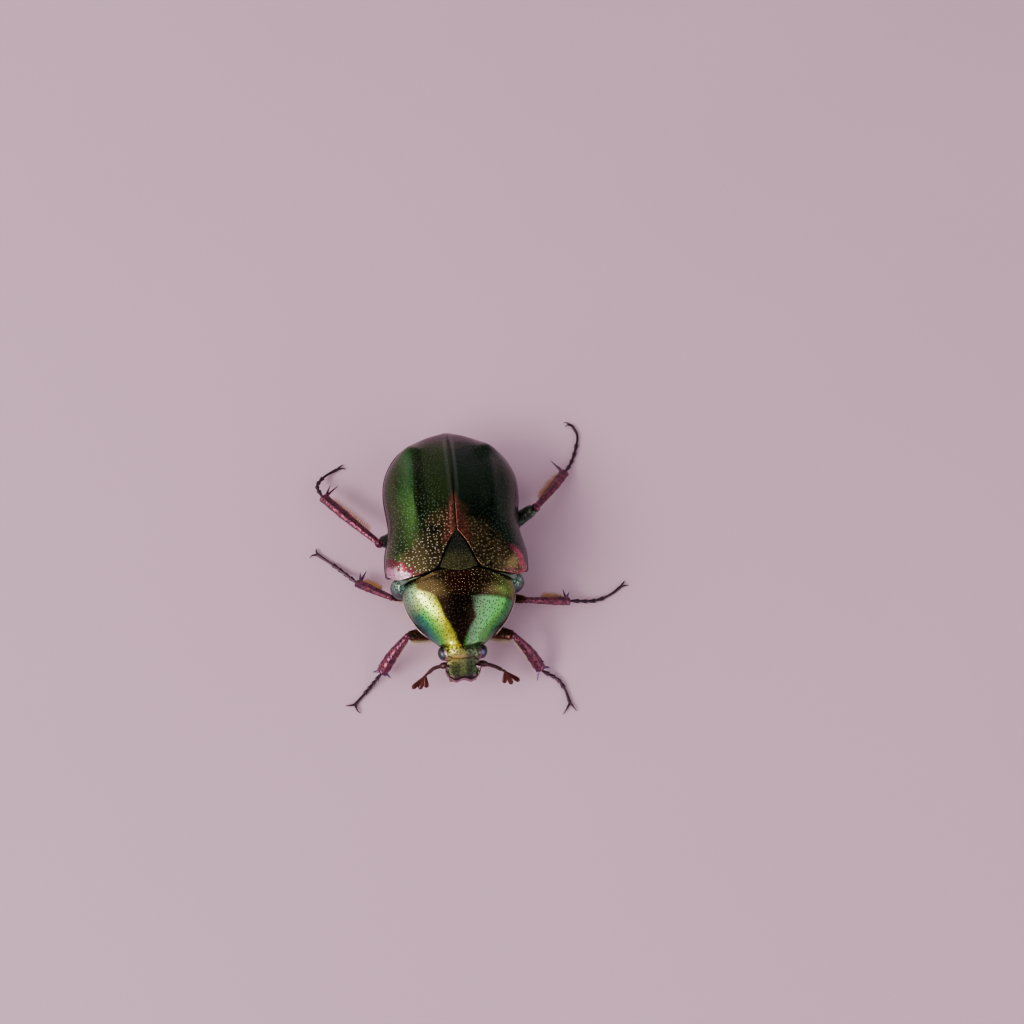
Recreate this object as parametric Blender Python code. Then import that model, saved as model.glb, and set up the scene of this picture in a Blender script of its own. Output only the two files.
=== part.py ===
"""A metallic green flower chafer, Protaetia lewisi, at life size.

The beetle stands as it walks: all six feet on the floor, feelers spread, wing cases closed.
Lengths in this file are millimetres, turned into metres where a mesh is made. X is the beetle's
left, +Y its rear, so the head points to -Y, and the floor is at z = 0. Y = 0 is the tip of the
scutellum, the small triangle between the wing cases.
"""

import bmesh
import bpy
import numpy as np
from math import cos, pi, radians, sin
from mathutils import Matrix, Vector

MM = 0.001
GAP = 0.25            # clear space between two neighbouring pieces
SHELL = 0.55          # wall of the wing cases and the scutellum
SEAM = GAP / 2        # half of the slit where the wing cases meet
SLIVER = 0.001        # edges shorter than this are closed up after a cut

BODY_HALF = 6.5       # from the midline to the side of the wing cases
BODY_HEIGHT = 9.4     # floor to the top of the wing cases
BELLY = 1.55          # floor to the lowest point of the breast
LENGTH_REAR = 12.95   # scutellum tip to the end of the wing cases
SCUTELLUM_TIP = 0.2
SCUTELLUM_BASE = -3.0
SCUTELLUM_HALF = 1.43
SCUTELLUM_BOW = 0.22  # how much its sides bulge
SCUTELLUM_BLUNT = 0.12
SCUTELLUM_RISE = 0.04
CASE_CLEARANCE = 1.25 * GAP  # from the scutellum's side to a wing case
THORAX_END = 3.3      # where the breast meets the abdomen
ABDOMEN_END = 11.2
STERNITES = 5

EYE_CENTRE = (1.74, -9.5, 4.62)
EYE_RADII = (0.48, 0.61, 0.66)
EYE_LEAN = 12         # degrees by which an eye turns outwards to the rear


# Materials

def material(name, colour, metallic, roughness):
    """One plain shader, shared by all pieces that ask for the same name."""
    found = bpy.data.materials.get(name)
    if found:
        return found
    made = bpy.data.materials.new(name)
    made.use_nodes = True
    shader = made.node_tree.nodes["Principled BSDF"]
    shader.inputs["Base Color"].default_value = (*colour, 1.0)
    shader.inputs["Metallic"].default_value = metallic
    shader.inputs["Roughness"].default_value = roughness
    made.diffuse_color = (*colour, 1.0)
    return made


def wing_case_green():
    return material("wing_case_green", (0.06, 0.20, 0.07), 0.9, 0.3)


def pronotum_bronze():
    return material("pronotum_bronze", (0.35, 0.42, 0.12), 0.9, 0.28)


def scutellum_olive():
    return material("scutellum_olive", (0.22, 0.20, 0.06), 0.9, 0.3)


def head_gold():
    return material("head_gold", (0.36, 0.37, 0.15), 0.9, 0.38)


def underside_green():
    return material("underside_green", (0.10, 0.17, 0.09), 0.85, 0.35)


def leg_copper():
    return material("leg_copper", (0.40, 0.13, 0.15), 0.85, 0.35)


def foot_dark():
    return material("foot_dark", (0.10, 0.05, 0.07), 0.6, 0.4)


def feeler_brown():
    return material("feeler_brown", (0.22, 0.06, 0.035), 0.1, 0.4)


def eye_black():
    return material("eye_black", (0.012, 0.013, 0.017), 0.0, 0.12)


# Curves

def profile(*stations):
    """A smooth curve value(place) through (place, value) stations, level beyond both ends."""
    places, values = np.array(stations, float).T
    slopes = np.gradient(values, places)

    def value(place):
        place = min(max(place, places[0]), places[-1])
        i = min(max(int(np.searchsorted(places, place)) - 1, 0), len(places) - 2)
        step = places[i + 1] - places[i]
        u = (place - places[i]) / step
        start = (1 + 2 * u) * (1 - u) ** 2 * values[i] + u * (1 - u) ** 2 * step * slopes[i]
        end = u * u * (3 - 2 * u) * values[i + 1] - u * u * (1 - u) * step * slopes[i + 1]
        return float(start + end)

    return value


def bump(x, y, centre, spread, height):
    """A round swelling, or a hollow where the height is negative."""
    along = ((x - centre[0]) / spread[0]) ** 2 + ((y - centre[1]) / spread[1]) ** 2
    return height * np.exp(-along)


def curve_through(points, count):
    """Evenly spaced points on a smooth curve through the given points."""
    points = np.array(points, float)
    knots = np.concatenate([[0], np.cumsum(np.linalg.norm(np.diff(points, axis=0), axis=1))])
    axes = [profile(*zip(knots, points[:, k])) for k in range(3)]
    return np.array([[axis(at) for axis in axes] for at in np.linspace(0, knots[-1], count)])


def eased(count, ease=0.5):
    """Steps from 0 to 1 that crowd towards both ends."""
    even = np.linspace(0, 1, count)
    return (1 - ease) * even + ease * (1 - np.cos(pi * even)) / 2


# Meshes

def add_object(name, points, faces, finish):
    """An object with a triangulated mesh whose faces point outwards, from millimetre points."""
    mesh = bpy.data.meshes.new(name)
    mesh.from_pydata([tuple(np.array(p, float) * MM) for p in points], [], faces)
    work = bmesh.new()
    work.from_mesh(mesh)
    bmesh.ops.remove_doubles(work, verts=work.verts, dist=1e-4 * MM)
    bmesh.ops.dissolve_degenerate(work, edges=work.edges, dist=1e-4 * MM)
    bmesh.ops.triangulate(work, faces=work.faces)
    bmesh.ops.recalc_face_normals(work, faces=work.faces)
    work.to_mesh(mesh)
    work.free()
    made = bpy.data.objects.new(name, mesh)
    bpy.context.scene.collection.objects.link(made)
    mesh.materials.append(finish)
    return made


def plate_between(name, upper, lower, finish):
    """A closed solid between two grids of points, rows by columns, walled along all four sides.

    Both grids are split along the same diagonals, so that thin walls never cross. Where the two
    grids touch, the wall between them vanishes.
    """
    rows, columns = upper.shape[:2]
    points = np.concatenate([upper.reshape(-1, 3), lower.reshape(-1, 3)])
    below = rows * columns
    faces = []

    def quad(a, b, c, d):
        faces.append((a, b, c))
        faces.append((a, c, d))

    for i in range(rows - 1):
        for j in range(columns - 1):
            a, b = i * columns + j, i * columns + j + 1
            c, d = b + columns, a + columns
            quad(a, b, c, d)
            faces.append((below + a, below + c, below + b))
            faces.append((below + a, below + d, below + c))
    front = list(range(columns))
    rear = [(rows - 1) * columns + j for j in front]
    left = [i * columns for i in range(rows)]
    right = [i + columns - 1 for i in left]
    for edge, turned in ((front, False), (rear, True), (left, True), (right, False)):
        for a, b in zip(edge, edge[1:]):
            if turned:
                a, b = b, a
            quad(b, a, below + a, below + b)
    return add_object(name, points, faces, finish)


def ellipsoid(name, centre, radii, finish, sides=16, rings=9, turn=None):
    """A closed ball, stretched along its axes and turned."""
    made = add_object(name, [(0, 0, 0)], [], finish)
    work = bmesh.new()
    bmesh.ops.create_uvsphere(work, u_segments=sides, v_segments=rings, radius=1.0)
    stretch = Matrix.Diagonal((*[r * MM for r in radii], 1.0))
    place = Matrix.Translation(Vector(centre) * MM)
    work.transform(place @ (turn or Matrix.Identity(4)) @ stretch)
    bmesh.ops.triangulate(work, faces=work.faces)
    work.to_mesh(made.data)
    work.free()
    return made


def limb(name, path, radii, finish, sides=8, mitres=(None, None), floor=False):
    """A closed tube along a path, with a wide and a high radius at each of its points.

    A mitre is a plane's (point, normal) on which the tube's end is cut. With floor set, nothing
    of the tube reaches below z = 0: its underside is flattened there.
    """
    path = np.array(path, float)
    count = len(path)
    rings = []
    for i in range(count):
        ahead = path[min(i + 1, count - 1)] - path[max(i - 1, 0)]
        ahead = ahead / np.linalg.norm(ahead)
        side = np.cross(ahead, (0, 0, 1))
        side = side / np.linalg.norm(side)
        up = np.cross(side, ahead)
        wide, high = radii[i] if np.ndim(radii[i]) else (radii[i], radii[i])
        ring = []
        for k in range(sides):
            angle = 2 * pi * (k + 0.5) / sides
            ring.append(path[i] + side * wide * cos(angle) + up * high * sin(angle))
        cut = mitres[0] if i == 0 else mitres[1] if i == count - 1 else None
        if cut:
            spot, normal = np.array(cut[0], float), np.array(cut[1], float)
            ring = [p + ahead * ((spot - p) @ normal) / (ahead @ normal) for p in ring]
        rings.append(ring)
    points = [p for ring in rings for p in ring]
    if floor:
        points = [(p[0], p[1], max(p[2], 0.0)) for p in points]
    faces = [tuple(range(sides))]
    for i in range(count - 1):
        for k in range(sides):
            a, b = i * sides + k, i * sides + (k + 1) % sides
            faces.append((a, a + sides, b + sides, b))
    faces.append(tuple(range((count - 1) * sides, count * sides))[::-1])
    return add_object(name, points, faces, finish)


def remove(pieces):
    for piece in pieces:
        bpy.data.objects.remove(piece)


def largest_body(work):
    """Deletes all but the largest closed surface of a mesh."""
    left = set(work.verts)
    bodies = []
    while left:
        reached = {left.pop()}
        edge = list(reached)
        while edge:
            for link in edge.pop().link_edges:
                for vert in link.verts:
                    if vert not in reached:
                        reached.add(vert)
                        edge.append(vert)
        left -= reached
        bodies.append(reached)

    def reach(body):
        spots = np.array([v.co for v in body])
        return float(np.prod(spots.max(axis=0) - spots.min(axis=0)))

    bodies.sort(key=reach)
    scraps = [vert for body in bodies[:-1] for vert in body]
    bmesh.ops.delete(work, geom=scraps, context="VERTS")


def combine(target, others, operation):
    """Applies one Boolean of the target with a group of closed pieces, then removes the group."""
    group = bpy.data.collections.new("group")
    bpy.context.scene.collection.children.link(group)
    for other in others:
        group.objects.link(other)
    step = target.modifiers.new("join", "BOOLEAN")
    step.operation = operation
    step.operand_type = "COLLECTION"
    step.collection = group
    bpy.context.view_layer.update()
    graph = bpy.context.evaluated_depsgraph_get()
    result = bpy.data.meshes.new_from_object(target.evaluated_get(graph))
    target.modifiers.remove(step)
    finish = target.data.materials[0]
    work = bmesh.new()
    work.from_mesh(result)
    bmesh.ops.triangulate(work, faces=work.faces)
    bmesh.ops.remove_doubles(work, verts=work.verts, dist=SLIVER * MM)
    bmesh.ops.dissolve_degenerate(work, edges=work.edges, dist=SLIVER * MM)
    bmesh.ops.triangulate(work, faces=work.faces)
    largest_body(work)
    for face in work.faces:
        face.material_index = 0
    work.to_mesh(result)
    work.free()
    result.materials.clear()
    result.materials.append(finish)
    result.name = target.name
    target.data = result
    remove(others)
    bpy.data.collections.remove(group)
    return target


# The dome of the back: one surface that wing cases, scutellum and the body below it share

DOME_FULLNESS = 0.8   # below 1 the dome's section is squarer than an ellipse

dome_half = profile((-3.6, 6.0), (-2.3, 6.4), (-0.85, BODY_HALF), (1.0, 6.22), (2.5, 6.02), (4.0, 6.14),
                    (5.8, 6.36), (7.5, 6.25), (9.3, 5.6), (10.7, 4.6), (11.9, 3.15), (12.6, 1.9),
                    (LENGTH_REAR, 0.75))
dome_top = profile((-3.6, 8.85), (-1.5, 9.15), (1.0, 9.35), (3.5, BODY_HEIGHT), (6.0, 8.95),
                   (8.0, 8.2), (10.0, 7.2), (11.5, 6.2), (12.5, 5.35), (LENGTH_REAR, 4.85))
dome_edge = profile((-3.6, 6.0), (-2.3, 5.75), (-0.85, 5.6), (2.5, 5.25), (5.8, 5.1), (9.3, 5.0),
                    (11.5, 4.7), (LENGTH_REAR, 4.3))
belly = profile((-3.5, 1.75), (-1.0, BELLY), (3.0, 1.6), (6.5, 1.8), (9.0, 2.3), (ABDOMEN_END, 3.0))


BACK_RELIEF = [
    ((5.3, -1.6), (0.9, 1.2), 0.30),      # shoulder
    ((3.75, 10.3), (0.9, 0.85), 0.55),    # swelling before the tip
    ((1.95, 7.4), (0.95, 3.9), -0.24),    # trough beside the seam
    ((0.0, 8.5), (0.35, 3.8), 0.12),      # raised seam
    ((3.55, 5.0), (0.55, 4.4), 0.13),     # lengthwise ridge
]


def back_relief(x, y):
    """How far the swellings and troughs of the wing cases lift or lower the dome."""
    return sum(bump(abs(x), y, *shape) for shape in BACK_RELIEF)


def share_at(angle):
    """The part of the dome's half width that lies inside an angle."""
    return abs(sin(angle)) ** DOME_FULLNESS


def angle_at(share):
    """The angle at a signed part of the dome's half width."""
    return np.sign(share) * np.arcsin(min(abs(share), 1.0) ** (1 / DOME_FULLNESS))


def dome_point(angle, y, seam=0.0):
    """A point of the back; the angle runs from 0 at the midline to a quarter turn at the edge."""
    share = share_at(angle)
    side = -1 if angle < 0 else 1
    x = seam + (dome_half(y) - seam) * share
    lift = max(cos(angle), 0.0)
    z = dome_edge(y) + (dome_top(y) - dome_edge(y)) * lift + back_relief(x, y) * min(1.0, 2 * lift)
    return np.array([side * x, y, z])


def dome_below(angle, y, depth, seam=0.0):
    """The point at a depth under the dome, measured square to its surface."""
    step = 0.02
    here = dome_point(angle, y, seam)
    low, high = max(angle - step, -pi / 2), min(angle + step, pi / 2)
    across = dome_point(high, y, seam) - dome_point(low, y, seam)
    along = dome_point(angle, y + step, seam) - dome_point(angle, y - step, seam)
    normal = np.cross(across, along)
    normal = normal / np.linalg.norm(normal)
    if abs(angle) < 1e-9:
        normal[0] = 0.0
    if pi / 2 - abs(angle) < 1e-9:
        normal = np.array([np.sign(angle), 0.0, 0.0])
    return here - depth * normal


# Where pronotum, scutellum and wing cases meet, seen from above

base_line = profile((0.0, -3.42), (0.8, -3.3), (1.55, -3.08), (2.4, -3.28), (3.3, -3.53), (4.3, -3.6),
                    (5.0, -3.64), (5.6, -3.45), (6.1, -2.95), (6.3, -2.7))
pronotum_base = profile((0.0, -3.42), (0.8, -3.3), (1.55, -3.08), (2.4, -3.28), (3.3, -3.53),
                        (4.1, -3.6), (5.0, -3.9))


def scutellum_half(y):
    """Half of the scutellum's width: a triangle with slightly bowed sides and a blunt tip."""
    share = min(max((SCUTELLUM_TIP - y) / (SCUTELLUM_TIP - SCUTELLUM_BASE), 0.0), 1.12)
    return SCUTELLUM_HALF * (share + SCUTELLUM_BOW * share * (1 - share)) + SCUTELLUM_BLUNT


def case_front(x):
    """Front border of a wing case: along the scutellum's side, then along the base."""
    base = base_line(x) + GAP / 2
    if x >= SCUTELLUM_HALF + SCUTELLUM_BLUNT + CASE_CLEARANCE:
        return base
    low, high = SCUTELLUM_BASE - 0.2, SCUTELLUM_TIP + 3 * GAP
    for _ in range(30):
        middle = (low + high) / 2
        beyond_tip = max(middle - SCUTELLUM_TIP, 0.0)
        wide = max(scutellum_half(middle) + CASE_CLEARANCE - 1.1 * beyond_tip, 0.0)
        low, high = (middle, high) if wide > x else (low, middle)
    return max(base, high)


def start_of_column(share, half_width, border, seam=0.0, guess=-3.0):
    """Where a lengthwise line at a share of the half width crosses a border y = border(x)."""
    y = guess
    for _ in range(80):
        y = 0.5 * y + 0.5 * border(seam + (half_width(y) - seam) * share)
    return y


# Wing cases

CASE_ANGLES = [radians(a) for a in (0, 5, 10.5, 16, 20.5, 27, 35, 44, 53, 62, 70, 77, 84, 90)]
CASE_ROWS = 24


def wing_case_grids(side, grown=0.0):
    """Outer and inner grid of one wing case, or of a swollen one that cuts the room it needs."""
    outer, inner = [], []
    starts = [start_of_column(share_at(a), dome_half, case_front, SEAM) - grown for a in CASE_ANGLES]
    for step in eased(CASE_ROWS):
        outer_row, inner_row = [], []
        for angle, start in zip(CASE_ANGLES, starts):
            y = start + (LENGTH_REAR - start) * step
            top = dome_below(angle, y, -grown, SEAM)
            low = dome_below(angle, y, SHELL + 0.7 * grown, SEAM)
            top[0], low[0] = max(top[0], SEAM), max(low[0], SEAM)
            if angle == CASE_ANGLES[-1]:
                top[2] -= grown
                low[2] -= grown
            outer_row.append(top * (side, 1, 1))
            inner_row.append(low * (side, 1, 1))
        outer.append(outer_row)
        inner.append(inner_row)
    return np.array(outer), np.array(inner)


def wing_case(name, side):
    return plate_between(name, *wing_case_grids(side), wing_case_green())


# Scutellum

def scutellum():
    """The small olive triangle, flush with the wing cases around it."""
    rows = [-3.3, -2.9, -2.3, -1.7, -1.1, -0.6, -0.2, 0.05, SCUTELLUM_TIP]
    shares = np.linspace(-1, 1, 9)
    upper, lower = [], []
    for i, y in enumerate(rows):
        upper_row, lower_row = [], []
        for share in shares:
            x = share * scutellum_half(max(y, SCUTELLUM_BASE))
            place = base_line(abs(x)) + GAP / 2 if i == 0 else y
            angle = angle_at(x / dome_half(place))
            top = dome_below(angle, place, 0.0)
            low = dome_below(angle, place, SHELL)
            upper_row.append((x, place, top[2] + SCUTELLUM_RISE))
            lower_row.append((x, place, low[2]))
        upper.append(upper_row)
        lower.append(lower_row)
    return plate_between("scutellum", np.array(upper), np.array(lower), scutellum_olive())


# Breast and abdomen, under the wing cases

CORE_DEPTH = SHELL + GAP
REAR_SLACK = 0.8      # share by which the room grows under the steep end of the wing cases
REAR_SLOPE = (6.5, 10.0)
FLANK_DROP = 0.9      # from the wing cases' border down to the side of the belly
CORE_ANGLES = [radians(a) for a in (-90, -76, -62, -48, -34, -20, -8, 8, 20, 34, 48, 62, 76, 90)]


def core_depth(y):
    first, last = REAR_SLOPE
    return CORE_DEPTH * (1 + REAR_SLACK * min(max((y - first) / (last - first), 0.0), 1.0))


def core_half(y):
    return dome_half(y) - core_depth(y)


def core_point(angle, y):
    """A point of the body's own back, under the wing cases."""
    share = share_at(angle)
    lift = max(cos(angle), 0.0)
    edge = dome_edge(y)
    relief = back_relief(share * dome_half(y), y) * min(1.0, 2 * lift)
    z = edge + (dome_top(y) - core_depth(y) - edge) * lift + relief
    return (np.sign(angle) * share * core_half(y), y, z)


def core_grids(start_line, end_line, steps, underside):
    """Upper grid just under the wing cases and lower grid along the belly."""
    upper, lower = [], []
    starts, ends = [], []
    for angle in CORE_ANGLES:
        starts.append(start_of_column(share_at(angle), core_half, start_line))
        ends.append(start_of_column(share_at(angle), core_half, end_line, guess=end_line(0)))
    for step in steps:
        upper_row, lower_row = [], []
        for angle, start, end in zip(CORE_ANGLES, starts, ends):
            y = start + (end - start) * step
            top = core_point(angle, y)
            side = dome_edge(y) - FLANK_DROP
            low = side - (side - underside(y)) * max(cos(angle), 0.0) ** 1.3
            upper_row.append(top)
            lower_row.append((top[0], y, low))
        upper.append(upper_row)
        lower.append(lower_row)
    return np.array(upper), np.array(lower)


SIDE_PLATE = {"centre": (5.10, -3.25, 4.95), "radii": (0.95, 0.86, 1.35), "lean": 0}
KEEL_PATH = [(0, -1.2, 2.2), (0, -3.2, 1.9), (0, -4.3, 1.75), (0, -4.75, 1.8)]
KEEL_RADII = [(0.8, 0.5), (0.75, 0.45), (0.55, 0.4), (0.3, 0.25)]


def grown_copy(piece, growth):
    """A copy of a piece that reaches further by a growth on each side of its box."""
    mesh = piece.data.copy()
    spots = np.array([v.co for v in mesh.vertices])
    low, high = spots.min(axis=0), spots.max(axis=0)
    middle = Vector((low + high) / 2)
    stretch = Matrix.Diagonal((*(1 + 2 * growth * MM / (high - low)), 1.0))
    mesh.transform(Matrix.Translation(middle) @ stretch @ Matrix.Translation(-middle))
    made = bpy.data.objects.new("room", mesh)
    bpy.context.scene.collection.objects.link(made)
    return made


def thorax(shield, leg_cutters):
    """Middle and hind breast with its side plates, hollowed for the hips, thighs and pronotum."""
    grids = core_grids(lambda x: base_line(x) + GAP / 2, lambda x: THORAX_END, eased(9, 0.3), belly)
    made = plate_between("thorax", *grids, underside_green())
    swellings = []
    for side in (-1, 1):
        lean = Matrix.Rotation(radians(SIDE_PLATE["lean"] * side), 4, "Z")
        x, y, z = SIDE_PLATE["centre"]
        swellings.append(ellipsoid("side_plate", (side * x, y, z), SIDE_PLATE["radii"],
                                   underside_green(), 12, 8, lean))
    keel = limb("keel", KEEL_PATH, KEEL_RADII, underside_green(), 10)
    combine(made, swellings + [keel], "UNION")
    cases = [plate_between("room", *wing_case_grids(side, GAP), underside_green()) for side in (-1, 1)]
    return combine(made, cases + leg_cutters + [grown_copy(shield, 0.8 * GAP)], "DIFFERENCE")


STERNITE_STEP = 0.16  # how far each belly plate stands out over the next


def sternite_belly(y):
    """The abdomen's underside: overlapping belly plates with a small step at each border."""
    length = (ABDOMEN_END - THORAX_END) / STERNITES
    along = ((y - THORAX_END - GAP) / length) % 1.0
    return belly(y) + STERNITE_STEP * (1 - along)


def abdomen(leg_cutters):
    """The hind body with its belly plates."""
    start, end = THORAX_END + GAP, ABDOMEN_END
    plate = 1.0 / STERNITES
    steps = sorted([k * plate for k in range(STERNITES + 1)]
                   + [(k + 0.93) * plate for k in range(STERNITES)]
                   + [(k + 0.5) * plate for k in range(STERNITES)])
    steps[-1] = 0.999
    made = plate_between("abdomen", *core_grids(lambda x: start, lambda x: end, steps, sternite_belly),
                         underside_green())
    return combine(made, leg_cutters, "DIFFERENCE")


PYGIDIUM_LENGTH = 0.9
PYGIDIUM_HALF = 0.97  # as a share of the body's half width there


def pygidium():
    """The end plate of the abdomen, under the tips of the wing cases."""
    rows = eased(6, 0.2)
    shares = [sin(radians(a)) for a in (-90, -60, -35, -12, 12, 35, 60, 90)]
    upper, lower = [], []
    for row in rows:
        y = ABDOMEN_END + GAP + row * PYGIDIUM_LENGTH
        half = PYGIDIUM_HALF * core_half(y)
        upper_row, lower_row = [], []
        for share in shares:
            top = core_point(angle_at(share), y)[2] - 0.12 - 0.3 * row ** 2
            low = 3.0 + 0.6 * row ** 1.5 + 0.5 * share * share
            upper_row.append((share * half, y, max(top, low + 0.15)))
            lower_row.append((share * half, y, low))
        upper.append(upper_row)
        lower.append(lower_row)
    return plate_between("pygidium", np.array(upper), np.array(lower), underside_green())


# Pronotum with the front breast

pronotum_half = profile((-9.4, 1.55), (-8.85, 1.98), (-8.2, 2.8), (-7.1, 3.92), (-6.0, 4.62),
                        (-5.2, 4.95), (-4.6, 5.05), (-4.1, 4.95), (-3.7, 4.6), (-3.4, 4.2))
pronotum_top = profile((-9.4, 6.15), (-8.6, 6.85), (-7.5, 7.75), (-6.0, 8.6), (-4.5, 9.0), (-3.1, 9.1))
pronotum_edge = profile((-9.4, 4.8), (-8.85, 4.95), (-7.1, 5.6), (-4.6, 6.15), (-3.5, 6.4))
front_breast = profile((-9.4, 3.4), (-8.4, 2.7), (-6.5, 2.2), (-4.5, 2.3), (-3.3, 2.6))
PRONOTUM_FRONT = -9.36
PRONOTUM_RIM = 0.30   # height of its side border


def pronotum_front(x):
    """Front border of the pronotum, hollowed round the head."""
    return PRONOTUM_FRONT + 0.5 * (x / 1.95) ** 2


def pronotum(cutters):
    """The shield behind the head and the front breast that it grows into."""
    angles = [radians(a) for a in (-90, -81, -70, -57, -43, -29, -16, -5, 5, 16, 29, 43, 57, 70, 81, 90)]
    shares = [abs(sin(a)) ** 0.9 for a in angles]
    fronts = [start_of_column(s, pronotum_half, pronotum_front, guess=-9.0) for s in shares]
    rears = [start_of_column(s, pronotum_half, lambda x: pronotum_base(x) - GAP / 2, guess=-4.0)
             for s in shares]
    upper, lower = [], []
    for step in eased(14):
        upper_row, lower_row = [], []
        for angle, share, front, rear in zip(angles, shares, fronts, rears):
            y = front + (rear - front) * step
            x = np.sign(angle) * share * pronotum_half(y)
            lift = max(cos(angle), 0.0)
            edge = pronotum_edge(y)
            top = edge + (pronotum_top(y) - edge) * lift ** 0.95
            rim = PRONOTUM_RIM * min(1.0, 3 * (1 - lift) ** 4)
            low = edge - rim - (edge - rim - front_breast(y)) * lift ** 1.35
            upper_row.append((x, y, top))
            lower_row.append((x, y, low))
        upper.append(upper_row)
        lower.append(lower_row)
    made = plate_between("pronotum", np.array(upper), np.array(lower), pronotum_bronze())
    return combine(made, cutters, "DIFFERENCE")


# Head

head_half = profile((-11.75, 1.15), (-11.6, 1.35), (-11.35, 1.54), (-10.95, 1.64), (-10.5, 1.56),
                    (-10.2, 1.44), (-9.9, 1.54), (-9.5, 1.76), (-9.1, 1.84))
head_top = profile((-11.7, 3.42), (-11.2, 3.6), (-10.5, 4.25), (-9.9, 4.95), (-9.4, 5.5), (-9.0, 5.75))
head_edge = profile((-11.7, 3.25), (-11.2, 3.42), (-10.5, 3.75), (-9.9, 4.1), (-9.4, 4.4), (-9.0, 4.5))
MOUTH_LINE = 3.0      # height of the clypeus' underside, above the mouthparts
MOUTH_FRONT = -11.15
MOUTH_REAR = -9.4
CLYPEUS_REAR = -10.55
CLYPEUS_RIM = 0.2
CLYPEUS_HOLLOW = 0.12
FRONS_RIDGE = 0.08


def clypeus_front(x):
    """Front border of the clypeus: two blunt lobes with a shallow notch between them."""
    lobes = bump(abs(x), 0.0, (0.65, 0.0), (0.36, 1.0), -0.2)
    return -11.52 + lobes + 0.5 * (x / 1.5) ** 6


def head(cutters):
    """Head capsule with the raised rim of its squarish clypeus."""
    angles = [radians(a) for a in (-90, -77, -66, -50, -33, -16, 0, 16, 33, 50, 66, 77, 90)]
    shares = [share_at(a) for a in angles]
    fronts = [start_of_column(s, head_half, clypeus_front, guess=-11.3) for s in shares]
    rears = [start_of_column(s, head_half, lambda x: pronotum_front(x) - GAP, guess=-9.3) for s in shares]
    upper, lower = [], []
    for step in eased(15, 0.7):
        upper_row, lower_row = [], []
        for angle, share, front, rear in zip(angles, shares, fronts, rears):
            y = front + (rear - front) * step
            edge = head_edge(y)
            lift = max(cos(angle), 0.0)
            top = edge + (head_top(y) - edge) * lift ** 0.7
            on_clypeus = 1 / (1 + np.exp((y - CLYPEUS_REAR) / 0.12))
            rim = CLYPEUS_RIM * (np.exp(-((y - front) / 0.15) ** 2) + on_clypeus * share ** 14)
            hollow = CLYPEUS_HOLLOW * on_clypeus * np.exp(-((share - 0.8) / 0.12) ** 2)
            ridge = FRONS_RIDGE * (1 - on_clypeus) * np.exp(-(share / 0.15) ** 2)
            upper_row.append((np.sign(angle) * share * head_half(y), y, top + rim - hollow + ridge))
            lower_row.append((np.sign(angle) * share * head_half(y), y,
                              edge - 0.1 - (edge - 0.1 - MOUTH_LINE) * lift ** 0.4))
        upper.append(upper_row)
        lower.append(lower_row)
    made = plate_between("head", np.array(upper), np.array(lower), head_gold())
    return combine(made, cutters, "DIFFERENCE")


def eye_ball(name, side, grown=0.0):
    """A compound eye, or the room that it needs in the head."""
    centre = (side * EYE_CENTRE[0], EYE_CENTRE[1], EYE_CENTRE[2])
    lean = Matrix.Rotation(radians(-EYE_LEAN * side), 4, "Z")
    return ellipsoid(name, centre, [r + grown for r in EYE_RADII], eye_black(), 16, 10, lean)


def mouthparts():
    """Jaws and lower lip under the clypeus, with the two palps."""
    half = profile((MOUTH_FRONT, 0.6), (-10.8, 0.92), (-10.0, 1.0), (MOUTH_REAR, 0.9))
    floor = profile((MOUTH_FRONT, 2.3), (-10.5, 2.0), (-9.9, 1.95), (MOUTH_REAR, 2.15))
    shares = [sin(radians(a)) for a in (-90, -55, -28, 0, 28, 55, 90)]
    upper, lower = [], []
    for step in eased(7, 0.3):
        y = MOUTH_FRONT + (MOUTH_REAR - MOUTH_FRONT) * step
        upper.append([(s * half(y), y, MOUTH_LINE - GAP) for s in shares])
        lower.append([(s * half(y), y, floor(y) + 0.45 * s * s + 0.1 * np.exp(-(s / 0.3) ** 2))
                      for s in shares])
    made = plate_between("mouthparts", np.array(upper), np.array(lower), feeler_brown())
    palps = [limb("palp", [(side * 0.5, -10.2, 2.35), (side * 0.8, -10.6, 2.15), (side * 1.0, -10.95, 2.05),
                           (side * 1.05, -11.25, 2.1)], [0.26, 0.25, 0.28, 0.16], feeler_brown(), 7)
             for side in (-1, 1)]
    return combine(made, palps, "UNION")


# Feelers

FEELERS = {
    "right": {"stalk": [(-1.1, -10.2, 3.7), (-1.75, -10.2, 3.45), (-2.1, -10.2, 3.25),
                        (-2.55, -10.22, 2.95), (-3.06, -10.44, 2.45)],
              "club": [(-4.6, -11.6, 1.75), (-3.95, -11.65, 1.55), (-3.3, -11.6, 1.7)]},
    "left": {"stalk": [(1.15, -10.22, 3.7), (1.85, -10.25, 3.45), (2.3, -10.3, 3.25),
                       (2.9, -10.4, 2.9), (3.5, -10.57, 2.45)],
             "club": [(5.15, -11.55, 1.75), (4.45, -11.75, 1.55), (3.75, -11.65, 1.7)]},
}
STALK_BEADS = [0.27, 0.30, 0.33, 0.34, 0.25, 0.28, 0.25, 0.28, 0.25, 0.29, 0.25]
LEAF_PLACES = (-0.12, 0.5, 0.85, 1.0)
LEAF_SIZES = [(0.22, 0.22), (0.3, 0.25), (0.27, 0.22), (0.1, 0.1)]


def feeler_stalk(name, feeler, grown=0.0):
    """Scape and beaded stalk of a feeler, or the room its root needs in the head."""
    path = curve_through(feeler["stalk"], len(STALK_BEADS))
    if grown:
        path[0] = path[0] + grown * (path[0] - path[1]) / np.linalg.norm(path[0] - path[1])
    return limb(name, path, [r + grown for r in STALK_BEADS], feeler_brown(), 8)


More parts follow.
